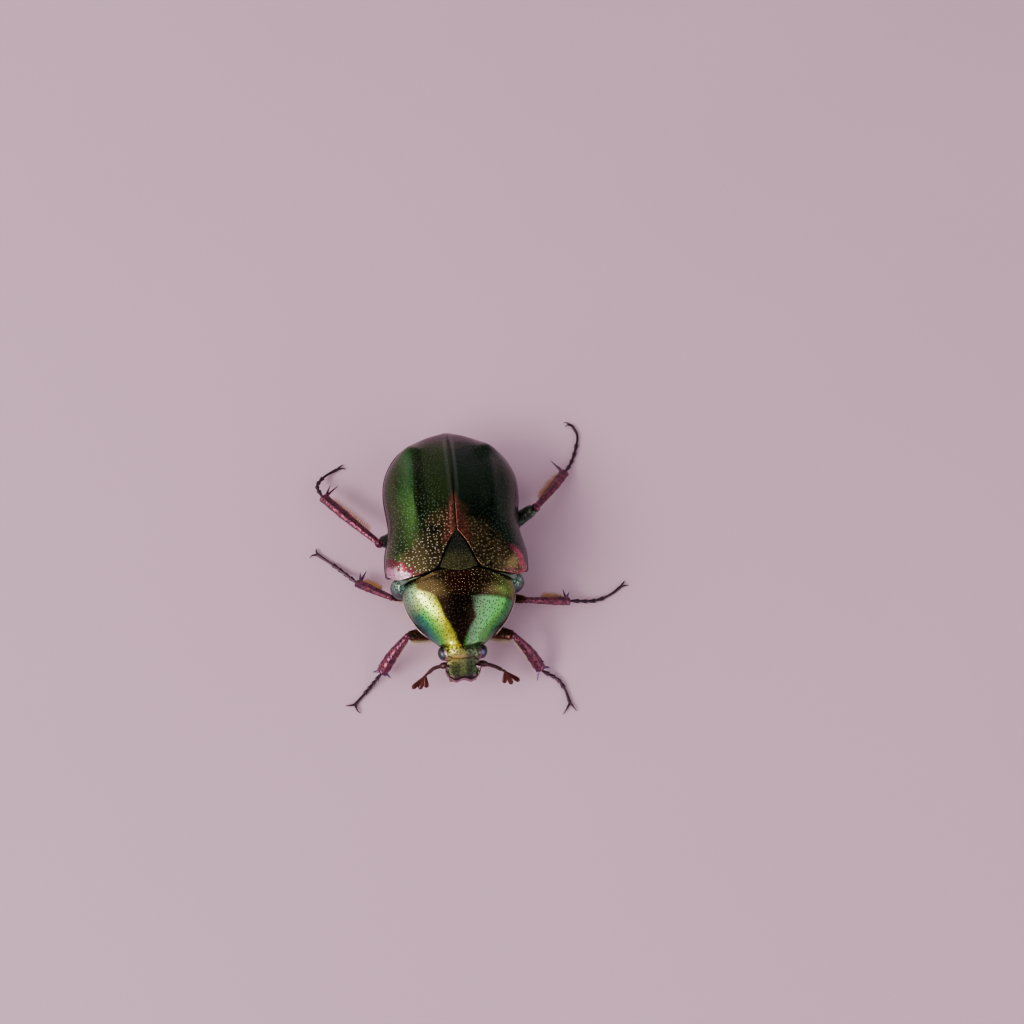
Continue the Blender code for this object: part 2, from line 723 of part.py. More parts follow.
def feeler_club(name, feeler):
    """Three flat leaves that fan out from the stalk's end."""
    last, end = np.array(feeler["stalk"][-2]), np.array(feeler["stalk"][-1])
    root = end + (end - last) / np.linalg.norm(end - last) * (GAP + 0.28)
    leaves = []
    for tip in feeler["club"]:
        way = np.array(tip) - root
        path = [root + place * way for place in LEAF_PLACES]
        leaves.append(limb("leaf", path, LEAF_SIZES, feeler_brown(), 6))
    made = leaves.pop(0)
    made.name = name
    return combine(made, leaves, "UNION")


# Legs: hip, thigh, shin, foot and claws, each with its places in the stance

LEGS = {
    "fore_right": {
        "hip": (-1.35, -6.1, 2.15), "hip_radii": (1.0, 0.75, 0.95),
        "thigh": [(-1.5, -6.15, 1.9), (-3.2, -6.75, 2.6), (-4.77, -7.2, 3.4)], "thigh_size": (0.66, 0.5),
        "shin": [(-4.77, -7.2, 3.4), (-6.1, -8.4, 2.3), (-7.34, -9.7, 0.8)],
        "foot": [(-7.34, -9.7, 0.8), (-8.47, -10.84, 0.36), (-9.75, -12.2, 0.3)],
        "claws": [(-10.63, -12.25, 0.07), (-9.28, -13.03, 0.07)],
        "spurs": [(0.9, -0.45, -0.2)], "teeth": (-0.75, 0.1, 0.1)},
    "fore_left": {
        "hip": (1.35, -6.1, 2.15), "hip_radii": (1.0, 0.75, 0.95),
        "thigh": [(1.5, -6.15, 1.9), (3.3, -7.0, 2.6), (4.88, -7.79, 3.4)], "thigh_size": (0.66, 0.5),
        "shin": [(4.88, -7.79, 3.4), (6.2, -9.0, 2.3), (7.4, -10.36, 0.8)],
        "foot": [(7.4, -10.36, 0.8), (8.96, -11.33, 0.38), (9.4, -12.13, 0.33), (9.72, -13.4, 0.3)],
        "claws": [(8.99, -14.44, 0.07), (10.28, -14.24, 0.07)],
        "spurs": [(-0.5, -0.9, -0.2)], "teeth": (0.72, 0.28, 0.14)},
    "mid_right": {
        "hip": (-1.95, -1.9, 1.8), "hip_radii": (1.25, 0.8, 0.75),
        "thigh": [(-2.0, -1.9, 1.5), (-4.2, -2.8, 2.3), (-6.06, -3.33, 3.3)], "thigh_size": (0.58, 0.46),
        "shin": [(-6.06, -3.33, 3.3), (-7.7, -2.0, 2.2), (-9.24, -0.61, 0.9)],
        "foot": [(-9.24, -0.61, 0.9), (-11.26, 1.43, 0.4), (-12.9, 2.8, 0.3)],
        "claws": [(-12.95, 3.5, 0.07), (-13.65, 2.55, 0.07)],
        "spurs": [(0.95, 1.2, -0.15), (0.35, 1.1, -0.25)], "teeth": None},
    "mid_left": {
        "hip": (1.95, -1.9, 1.8), "hip_radii": (1.25, 0.8, 0.75),
        "thigh": [(2.0, -1.9, 1.5), (4.3, -3.4, 2.3), (6.34, -4.34, 3.3)], "thigh_size": (0.58, 0.46),
        "shin": [(6.34, -4.34, 3.3), (8.6, -4.1, 2.2), (10.76, -3.72, 0.9)],
        "foot": [(10.76, -3.72, 0.9), (13.91, -3.49, 0.36), (15.2, -2.9, 0.32), (15.95, -2.35, 0.3)],
        "claws": [(16.55, -1.65, 0.07), (16.85, -2.2, 0.07)],
        "spurs": [(-0.5, 1.25, -0.15), (0.1, 1.0, -0.25)], "teeth": None},
    "hind_right": {
        "hip": (-2.45, 2.4, 1.8), "hip_radii": (2.05, 0.95, 0.65),
        "thigh": [(-2.2, 2.8, 1.5), (-4.9, 3.3, 2.0), (-6.93, 2.5, 2.7)], "thigh_size": (0.88, 0.48),
        "shin": [(-6.93, 2.5, 2.7), (-9.7, 5.35, 2.4), (-12.31, 8.26, 1.9)],
        "foot": [(-12.31, 8.26, 1.9), (-12.75, 9.77, 1.2), (-12.12, 11.12, 0.6), (-10.9, 12.05, 0.3)],
        "claws": [(-10.2, 12.65, 0.07), (-10.0, 12.1, 0.07)],
        "spurs": [(1.6, 1.2, -0.35), (0.85, 1.35, -0.4)], "teeth": None},
    "hind_left": {
        "hip": (2.45, 2.4, 1.8), "hip_radii": (2.05, 0.95, 0.65),
        "thigh": [(2.2, 2.8, 1.5), (5.0, 3.65, 2.3), (8.07, 4.8, 4.0)], "thigh_size": (0.88, 0.48),
        "shin": [(8.07, 4.8, 4.0), (10.2, 7.6, 2.5), (11.97, 10.26, 0.9)],
        "foot": [(11.97, 10.26, 0.9), (12.69, 11.37, 0.45), (13.4, 13.0, 0.34), (13.8, 15.1, 0.32),
                 (13.45, 16.0, 0.3)],
        "claws": [(12.6, 16.5, 0.07), (12.75, 15.95, 0.07)],
        "spurs": [(-1.35, 1.4, -0.1), (-0.65, 0.75, -0.1)], "teeth": None},
}
THIGH_SWELL = [0.70, 0.86, 1.0, 1.0, 0.88, 0.72, 0.66]
SHIN_SWELL = {"fore": [(0.36, 0.32), (0.40, 0.32), (0.48, 0.33), (0.54, 0.34), (0.56, 0.34), (0.50, 0.33)],
              "mid": [(0.36, 0.34), (0.34, 0.33), (0.37, 0.34), (0.42, 0.36), (0.44, 0.38), (0.46, 0.38)],
              "hind": [(0.38, 0.35), (0.36, 0.34), (0.40, 0.36), (0.46, 0.38), (0.46, 0.40), (0.50, 0.40)]}
TARSOMERES = [0.17, 0.15, 0.15, 0.16, 0.37]
FOOT_THIN = 0.25
FOOT_FLARE = 0.33
SPUR_RADII = [0.25, 0.15, 0.06]
TOOTH_PLACES = (0.52, 0.72, 0.88)
TOOTH_RADII = [0.3, 0.22, 0.07]
CLAW_BASE_RADII = [0.26, 0.27, 0.2]
HOOK_RADII = [0.2, 0.19, 0.14, 0.06]


def unit(vector):
    return np.array(vector, float) / np.linalg.norm(vector)


def mitre_at(joint, before, after, side):
    """The plane that halves a bend, shifted half a gap to one side of it."""
    normal = unit(unit(before) + unit(after))
    return (np.array(joint) + side * GAP / 2 * normal, normal)


def leg_paths(leg):
    thigh = curve_through(leg["thigh"], len(THIGH_SWELL))
    shin = curve_through(leg["shin"], 6)
    foot = curve_through(leg["foot"], 60)
    return thigh, shin, foot


def hip(name, leg, grown=0.0):
    radii = [r + grown for r in leg["hip_radii"]]
    return ellipsoid(name, leg["hip"], radii, leg_copper(), 12, 8)


def thigh(name, leg, grown=0.0):
    """The thigh, or the hollow it needs in the body above it."""
    path, shin_path, _ = leg_paths(leg)
    wide, high = leg["thigh_size"]
    radii = [(wide * swell + grown, high * swell + grown) for swell in THIGH_SWELL]
    if grown:
        return limb(name, path, radii, leg_copper(), 10)
    knee = mitre_at(path[-1], path[-1] - path[-2], shin_path[1] - shin_path[0], -1)
    made = limb(name, path, radii, leg_copper(), 10, (None, knee))
    return combine(made, [hip("room", leg, GAP)], "DIFFERENCE")


def shin(name, leg, pair):
    """The shin with its end spurs and, on a fore leg, the teeth of its outer edge."""
    thigh_path, path, foot = leg_paths(leg)
    knee = mitre_at(path[0], thigh_path[-1] - thigh_path[-2], path[1] - path[0], 1)
    ankle = mitre_at(path[-1], path[-1] - path[-2], foot[6] - foot[0], -1)
    made = limb(name, path, SHIN_SWELL[pair], leg_copper(), 8, (knee, ankle))
    spines = []
    ahead = unit(path[-1] - path[-2])
    for reach in leg["spurs"]:
        reach = np.array(reach)
        aside = unit(reach - (reach @ ahead) * ahead)
        start = path[-1] - 0.6 * ahead + 0.3 * aside
        tip = path[-1] + reach
        middle = (start + tip) / 2 + np.array((0, 0, 0.06))
        spines.append(limb("spur", [start, middle, tip], SPUR_RADII, leg_copper(), 5))
    if leg["teeth"]:
        outward = np.array(leg["teeth"])
        for at in TOOTH_PLACES:
            root = path[0] + (path[-1] - path[0]) * at + 0.05 * outward
            tip = root + outward * (0.8 + 0.35 * at) + 0.3 * ahead
            spines.append(limb("tooth", [root, (root + tip) / 2, tip], TOOTH_RADII, leg_copper(), 5))
    return combine(made, spines, "UNION")


def foot(name, leg):
    """Five tarsomeres, each flared at its far end, the last one long and thin."""
    _, shin_path, fine = leg_paths(leg)
    length = len(fine) - 1
    places, radii = [0.0], [FOOT_THIN]
    at = 0.0
    for share in TARSOMERES[:-1]:
        places += [at + 0.72 * share, at + 0.94 * share, at + share]
        radii += [FOOT_THIN + 0.03, FOOT_FLARE, FOOT_THIN]
        at += share
    places += [at + 0.19, 0.96, 1.0]
    radii += [FOOT_THIN, FOOT_THIN + 0.04, FOOT_THIN + 0.02]
    path = [fine[int(round(place * length))] for place in places]
    ankle = mitre_at(fine[0], shin_path[-1] - shin_path[-2], fine[6] - fine[0], 1)
    end = (fine[-1], unit(fine[-1] - fine[-3]))
    return limb(name, path, radii, foot_dark(), 7, (ankle, end), floor=True)


def claws(name, leg):
    """The paired hooked claws on their short base."""
    _, _, fine = leg_paths(leg)
    ahead = unit(fine[-1] - fine[-3])
    start = fine[-1] + GAP * ahead
    base = limb(name, [start, start + 0.2 * ahead, start + 0.34 * ahead], CLAW_BASE_RADII,
                foot_dark(), 7, ((start, ahead), None), floor=True)
    hooks = []
    for tip in leg["claws"]:
        tip = np.array(tip)
        root = start + 0.14 * ahead
        reach = tip - root
        bow = [root + 0.4 * reach + np.array((0, 0, 0.12)), root + 0.8 * reach + np.array((0, 0, 0.1))]
        hooks.append(limb("hook", [root, *bow, tip], HOOK_RADII, foot_dark(), 6, floor=True))
    return combine(base, hooks, "UNION")


# The whole beetle

def build_legs():
    for leg_name, leg in LEGS.items():
        pair, side = leg_name.split("_")
        hip(f"coxa_{leg_name}", leg)
        thigh(f"femur_{leg_name}", leg)
        shin(f"tibia_{leg_name}", leg, pair)
        foot(f"tarsus_{leg_name}", leg)
        claws(f"claws_{leg_name}", leg)


def leg_room(pairs):
    """Hollows for the hips and thighs of the named pairs of legs."""
    room = []
    for leg_name, leg in LEGS.items():
        if leg_name.split("_")[0] in pairs:
            room += [hip("room", leg, GAP), thigh("room", leg, GAP)]
    return room


def build_body():
    sides = (("right", -1), ("left", 1))
    for side, sign in sides:
        wing_case(f"elytron_{side}", sign)
        eye_ball(f"eye_{side}", sign)
        feeler_stalk(f"antenna_{side}", FEELERS[side])
        feeler_club(f"antenna_club_{side}", FEELERS[side])
    scutellum()
    eye_room = [eye_ball("room", sign, GAP) for _, sign in sides]
    shield = pronotum(leg_room(("fore", "mid")) + eye_room)
    thorax(shield, leg_room(("mid", "hind")))
    abdomen([thigh("room", LEGS[f"hind_{side}"], GAP) for side, _ in sides])
    pygidium()
    eye_room = [eye_ball("room", sign, GAP) for _, sign in sides]
    head(eye_room + [feeler_stalk("room", FEELERS[side], GAP) for side, _ in sides])
    mouthparts()


def stand_on_origin(pieces):
    """Hangs all pieces on one empty that puts the middle of their floor area at the origin."""
    spots = np.array([v.co for piece in pieces for v in piece.data.vertices])
    low, high = spots.min(axis=0), spots.max(axis=0)
    holder = bpy.data.objects.new("beetle", None)
    bpy.context.scene.collection.objects.link(holder)
    holder.location = (-(low[0] + high[0]) / 2, -(low[1] + high[1]) / 2, -low[2])
    for piece in pieces:
        piece.parent = holder


def main():
    for obj in list(bpy.data.objects):
        bpy.data.objects.remove(obj)
    build_body()
    build_legs()
    pieces = [obj for obj in bpy.context.scene.collection.objects if obj.type == "MESH"]
    for piece in pieces:
        piece.data.shade_smooth()
        piece.data.set_sharp_from_angle(angle=radians(38))
    stand_on_origin(pieces)


main()
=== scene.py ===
import random
from math import cos, pi, radians, sin

import bpy
import numpy as np
from mathutils import Matrix, Vector


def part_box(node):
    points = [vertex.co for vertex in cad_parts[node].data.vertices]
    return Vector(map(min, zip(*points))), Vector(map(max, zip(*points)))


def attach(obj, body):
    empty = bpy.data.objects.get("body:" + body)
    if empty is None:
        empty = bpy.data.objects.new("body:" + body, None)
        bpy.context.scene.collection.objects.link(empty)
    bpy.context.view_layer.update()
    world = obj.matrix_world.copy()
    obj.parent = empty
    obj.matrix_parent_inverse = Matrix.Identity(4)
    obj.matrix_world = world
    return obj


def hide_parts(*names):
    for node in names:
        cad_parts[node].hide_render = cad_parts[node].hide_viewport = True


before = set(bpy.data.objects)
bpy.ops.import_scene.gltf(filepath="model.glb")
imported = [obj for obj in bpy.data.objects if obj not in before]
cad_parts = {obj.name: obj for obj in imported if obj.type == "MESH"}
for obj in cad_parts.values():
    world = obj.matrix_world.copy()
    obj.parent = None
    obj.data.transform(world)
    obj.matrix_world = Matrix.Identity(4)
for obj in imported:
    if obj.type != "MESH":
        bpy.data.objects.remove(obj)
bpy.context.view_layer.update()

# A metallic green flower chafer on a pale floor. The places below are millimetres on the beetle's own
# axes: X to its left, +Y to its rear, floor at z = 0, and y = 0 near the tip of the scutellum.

MM = 0.001
SCUTELLUM_TIP = 0.2  # Y of the scutellum's tip
SIDES = (("right", -1), ("left", 1))

scutellum_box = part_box("scutellum")
MIDDLE_X = (scutellum_box[0][0] + scutellum_box[1][0]) / 2
MIDDLE_Y = scutellum_box[1][1] - SCUTELLUM_TIP * MM
ORIGIN = Vector((MIDDLE_X, MIDDLE_Y, 0.0))

CAMERA_PLACE = (-5.59, -41.02, 95.86)
CAMERA_RIGHT = (0.9927, -0.0934, 0.0765)
CAMERA_UP = (0.0495, 0.8926, 0.4481)
CAMERA_LENS = 37.97

random.seed(7)


def place(point):
    """A point on the beetle's axes, in the frame's metres."""
    return ORIGIN + Vector(point) * MM


# Modelling helpers

def select_only(obj):
    if bpy.context.object and bpy.context.object.mode != "OBJECT":
        bpy.ops.object.mode_set(mode="OBJECT")
    bpy.ops.object.select_all(action="DESELECT")
    obj.select_set(True)
    bpy.context.view_layer.objects.active = obj


def apply_all(obj):
    select_only(obj)
    for step in [m.name for m in obj.modifiers]:
        bpy.ops.object.modifier_apply(modifier=step)


def dress(obj, finish, slot, *nodes):
    """Gives a finished piece its material, hangs it on the root and hides the CAD nodes that it stands for."""
    obj.data.materials.clear()
    obj.data.materials.append(finish)
    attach(obj, "root")
    if nodes:
        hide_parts(*nodes)
    return obj


def spots_of(mesh):
    """A mesh's points as millimetres on the beetle's axes."""
    flat = np.empty(len(mesh.vertices) * 3)
    mesh.vertices.foreach_get("co", flat)
    return (flat.reshape(-1, 3) - np.array(ORIGIN)) / MM


def move_spots(mesh, spots):
    mesh.vertices.foreach_set("co", (spots * MM + np.array(ORIGIN)).ravel())
    mesh.update()


def linked(name, data):
    obj = bpy.data.objects.new(name, data)
    bpy.context.scene.collection.objects.link(obj)
    return obj


def weld(obj, quads=False):
    """Joins a mesh's doubled points and turns its faces outwards."""
    select_only(obj)
    bpy.ops.object.mode_set(mode="EDIT")
    bpy.ops.mesh.select_all(action="SELECT")
    bpy.ops.mesh.remove_doubles(threshold=2e-7)
    bpy.ops.mesh.normals_make_consistent(inside=False)
    if quads:
        bpy.ops.mesh.tris_convert_to_quads(face_threshold=radians(50), shape_threshold=radians(70))
    bpy.ops.object.mode_set(mode="OBJECT")


def traced_copy(node, name):
    """A copy of a CAD node with its loose triangles joined, so that it can be modelled further."""
    obj = linked(name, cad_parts[node].data.copy())
    weld(obj, quads=True)
    return obj


def crease_ridges(obj, angle, crease):
    """Holds the edges that are sharper than an angle while the piece is rounded."""
    select_only(obj)
    bpy.ops.object.mode_set(mode="EDIT")
    bpy.context.tool_settings.mesh_select_mode = (False, True, False)
    bpy.ops.mesh.select_all(action="DESELECT")
    bpy.ops.mesh.edges_select_sharp(sharpness=radians(angle))
    bpy.ops.transform.edge_crease(value=crease)
    bpy.ops.object.mode_set(mode="OBJECT")


def rounded(obj, levels, hold=2):
    """Subdivides a piece, after pushing its points out so that the rounding doesn't shrink it."""
    step = obj.modifiers.new("round", "SUBSURF")
    step.levels = 1
    wanted = spots_of(obj.data)
    for _ in range(hold):
        bpy.context.view_layer.update()
        graph = bpy.context.evaluated_depsgraph_get()
        reached = spots_of(obj.evaluated_get(graph).data)[:len(wanted)]
        move_spots(obj.data, spots_of(obj.data) + 0.8 * (wanted - reached))
    step.levels = levels
    step.render_levels = levels
    apply_all(obj)
    bpy.ops.object.shade_smooth()


def refined(node, name, levels=2, angle=40, crease=0.7, hold=2):
    """A CAD node rounded into a finished skin."""
    obj = traced_copy(node, name)
    crease_ridges(obj, angle, crease)
    rounded(obj, levels, hold)
    return obj


def cross_section(name, corners):
    """A closed outline, one wide, that a limb's curve carries along its route."""
    curve = bpy.data.curves.new(name, "CURVE")
    curve.dimensions = "2D"
    line = curve.splines.new("POLY")
    line.points.add(len(corners) - 1)
    line.use_cyclic_u = True
    for spot, (x, y) in zip(line.points, corners):
        spot.co = (x * MM, y * MM, 0.0, 1.0)
    return linked(name, curve)


def tube(name, points, radii, section=None, sides=3):
    """A closed tube along a route, with a radius at each of its points, made from a bevelled curve."""
    curve = bpy.data.curves.new(name, "CURVE")
    curve.dimensions = "3D"
    curve.use_fill_caps = True
    curve.twist_mode = "Z_UP"
    if section:
        curve.bevel_mode = "OBJECT"
        curve.bevel_object = section
    else:
        curve.bevel_depth = MM
        curve.bevel_resolution = sides
    line = curve.splines.new("POLY")
    line.points.add(len(points) - 1)
    for spot, point, radius in zip(line.points, points, radii):
        spot.co = (*place(point), 1.0)
        spot.radius = radius
    select_only(linked(name, curve))
    bpy.ops.object.convert(target="MESH")
    obj = bpy.context.object
    weld(obj)
    bpy.ops.object.shade_smooth()
    return obj


def ball(name, centre, radii, turn=(0, 0, 0), segments=24, rings=14):
    """A smooth ball stretched along its axes, with its shape kept in its mesh."""
    bpy.ops.object.select_all(action="DESELECT")
    bpy.ops.mesh.primitive_uv_sphere_add(segments=segments, ring_count=rings, radius=MM,
                                         location=place(centre), rotation=[radians(a) for a in turn])
    obj = bpy.context.object
    obj.name = name
    obj.scale = radii
    bpy.ops.object.transform_apply(location=True, rotation=True, scale=True)
    bpy.ops.object.shade_smooth()
    return obj


def joined(pieces, name):
    select_only(pieces[0])
    for piece in pieces[1:]:
        piece.select_set(True)
    if len(pieces) > 1:
        bpy.ops.object.join()
    obj = bpy.context.object
    obj.name = name
    return obj


def unit(vector):
    return np.array(vector, float) / np.linalg.norm(vector)


def smooth_path(points, count):
    """Even steps along a soft curve through a few points."""
    line = np.array(points, float)
    knots = np.concatenate([[0], np.cumsum(np.linalg.norm(np.diff(line, axis=0), axis=1))])
    slopes = np.gradient(line, knots, axis=0)
    path = []
    for at in np.linspace(0, knots[-1], count):
        i = min(max(int(np.searchsorted(knots, at)) - 1, 0), len(knots) - 2)
        step = knots[i + 1] - knots[i]
        u = (at - knots[i]) / step
        start = (1 + 2 * u) * (1 - u) ** 2 * line[i] + u * (1 - u) ** 2 * step * slopes[i]
        end = u * u * (3 - 2 * u) * line[i + 1] - u * u * (1 - u) * step * slopes[i + 1]
        path.append(start + end)
    return np.array(path)


def fill_ramp(band, stops):
    """Gives a colour ramp its stops."""
    while len(band.elements) < len(stops):
        band.elements.new(0.5)
    for element, (at, colour) in zip(band.elements, stops):
        element.position = at
        element.color = (*colour, 1.0)


def add_node(tree, kind, **inputs):
    """A shader node with its named inputs set to values or linked to other nodes."""
    made = tree.nodes.new(kind)
    for name, value in inputs.items():
        socket = made.inputs[name.replace("_", " ")]
        if isinstance(value, bpy.types.NodeSocket):
            tree.links.new(value, socket)
        else:
            socket.default_value = value
    return made


# Material helpers: every pattern reads object coordinates, turned into millimetres on the beetle's axes

class Finish:
    """A Principled material and short ways to add the nodes that paint it."""

    def __init__(self, name, metallic, roughness, coat=0.0):
        self.material = bpy.data.materials.new(name)
        self.material.use_nodes = True
        self.tree = self.material.node_tree
        self.shader = self.tree.nodes["Principled BSDF"]
        self.shader.inputs["Metallic"].default_value = metallic
        self.shader.inputs["Roughness"].default_value = roughness
        self.shader.inputs["Coat Weight"].default_value = coat
        self.shader.inputs["Coat Roughness"].default_value = 0.08
        coordinates = self.node("ShaderNodeTexCoord")
        scale = self.node("ShaderNodeMapping", Vector=coordinates.outputs["Object"],
                          Location=(-MIDDLE_X / MM, -MIDDLE_Y / MM, 0.0), Scale=(1 / MM, 1 / MM, 1 / MM))
        self.spot = scale.outputs["Vector"]
        self.x, self.y, self.z = self.node("ShaderNodeSeparateXYZ", Vector=self.spot).outputs

    def node(self, kind, **inputs):
        return add_node(self.tree, kind, **inputs)

    def link(self, start, end):
        self.tree.links.new(start, end)

    def feed(self, socket, value):
        if isinstance(value, (int, float)):
            socket.default_value = value
        elif isinstance(value, tuple):
            socket.default_value = (*value, 1.0)
        else:
            self.link(value, socket)

    def maths(self, operation, *values):
        made = self.node("ShaderNodeMath")
        made.operation = operation
        for socket, value in zip(made.inputs, values):
            self.feed(socket, value)
        return made.outputs[0]

    def plus(self, first, second):
        return self.maths("ADD", first, second)

    def minus(self, first, second):
        return self.maths("SUBTRACT", first, second)

    def absolute(self, value):
        return self.maths("ABSOLUTE", value)

    def largest(self, first, second):
        return self.maths("MAXIMUM", first, second)

    def length(self, dx, dy):
        return self.maths("SQRT", self.plus(self.times(dx, dx), self.times(dy, dy)))

    def times(self, *values):
        product = values[0]
        for value in values[1:]:
            product = self.maths("MULTIPLY", product, value)
        return product

    def ramp(self, value, low, high, from_value=0.0, to_value=1.0):
        """A soft step of a value between low and high."""
        made = self.node("ShaderNodeMapRange", Value=value, From_Min=low, From_Max=high,
                         To_Min=from_value, To_Max=to_value)
        made.interpolation_type = "SMOOTHSTEP"
        return made.outputs["Result"]

    def fall(self, value, low, high):
        """1 below low and 0 above high."""
        return self.ramp(value, low, high, 1.0, 0.0)

    def level(self, value, *stops):
        """A number that runs in straight steps between stops."""
        return self.colours(value, *[(at, (grey, grey, grey)) for at, grey in stops], kind="LINEAR")

    def colours(self, value, *stops, kind="EASE"):
        made = self.node("ShaderNodeValToRGB")
        self.feed(made.inputs["Fac"], value)
        made.color_ramp.interpolation = kind
        fill_ramp(made.color_ramp, stops)
        return made.outputs["Color"]

    def mix(self, share, first, second):
        made = self.node("ShaderNodeMix")
        made.data_type = "RGBA"
        sockets = [s for s in made.inputs if s.enabled]
        for socket, value in zip(sockets, (share, first, second)):
            self.feed(socket, value)
        return next(s for s in made.outputs if s.enabled)

    def noise(self, scale, detail=3.0):
        return self.node("ShaderNodeTexNoise", Vector=self.spot, Scale=scale, Detail=detail).outputs["Fac"]

    def rolled(self, axis_height, radius):
        """The skin rolled flat round a lengthwise axis, in millimetres, for patterns on its surface."""
        lift = self.minus(self.z, axis_height)
        around = self.times(self.maths("ARCTAN2", self.x, lift), radius)
        return self.node("ShaderNodeCombineXYZ", X=around, Y=self.y).outputs["Vector"]

    def cells(self, scale, randomness=1.0, flat=None):
        made = self.node("ShaderNodeTexVoronoi", Vector=flat or self.spot, Scale=scale, Randomness=randomness)
        made.voronoi_dimensions = "2D" if flat else "3D"
        return made.outputs["Distance"]

    def walls(self):
        """1 on faces that look forwards or back, and 0 on the rest of the skin."""
        normal = self.node("ShaderNodeNewGeometry").outputs["Normal"]
        split = self.node("ShaderNodeSeparateXYZ", Vector=normal)
        return self.ramp(self.absolute(split.outputs["Y"]), 0.7, 0.88)

    def pits(self, scale, size, flat=None):
        """Small round punctures: 1 in the middle of each and 0 between them."""
        made = self.fall(self.cells(scale, 0.8, flat), size * 0.5, size)
        if flat:
            made = self.times(made, self.minus(1.0, self.walls()))
        return made

    def blob(self, centre, spread, edge=1.0):
        """1 near a place on the back and 0 away from it; spreads are millimetres along X and Y."""
        dx = self.maths("DIVIDE", self.minus(self.x, centre[0]), spread[0])
        dy = self.maths("DIVIDE", self.minus(self.y, centre[1]), spread[1])
        return self.fall(self.length(dx, dy), 1.0 - edge, 1.0 + edge)

    def wobble(self, value, scale, reach):
        """Shifts a value by soft noise, so that the border drawn from it is uneven."""
        return self.plus(value, self.times(self.minus(self.noise(scale), 0.5), reach))

    def finish(self, colour, roughness, height=None, depth=0.00004, strength=0.8):
        """Wires the colour, a roughness from two values over fine grain, and the bumps."""
        self.feed(self.shader.inputs["Base Color"], colour)
        grain = self.ramp(self.noise(9.0), 0.25, 0.75, *roughness)
        self.link(grain, self.shader.inputs["Roughness"])
        if height:
            made = self.node("ShaderNodeBump", Height=height, Strength=strength, Distance=depth)
            self.link(made.outputs["Normal"], self.shader.inputs["Normal"])
        return self.material


# Finishes: a roll is the height and the radius of the lengthwise axis that a skin is rolled flat round

BACK_ROLL = (3.8, 5.6)
PRONOTUM_ROLL = (4.2, 4.8)
HEAD_ROLL = (3.2, 1.7)
EYE_SHEEN = (1.7, -9.74)

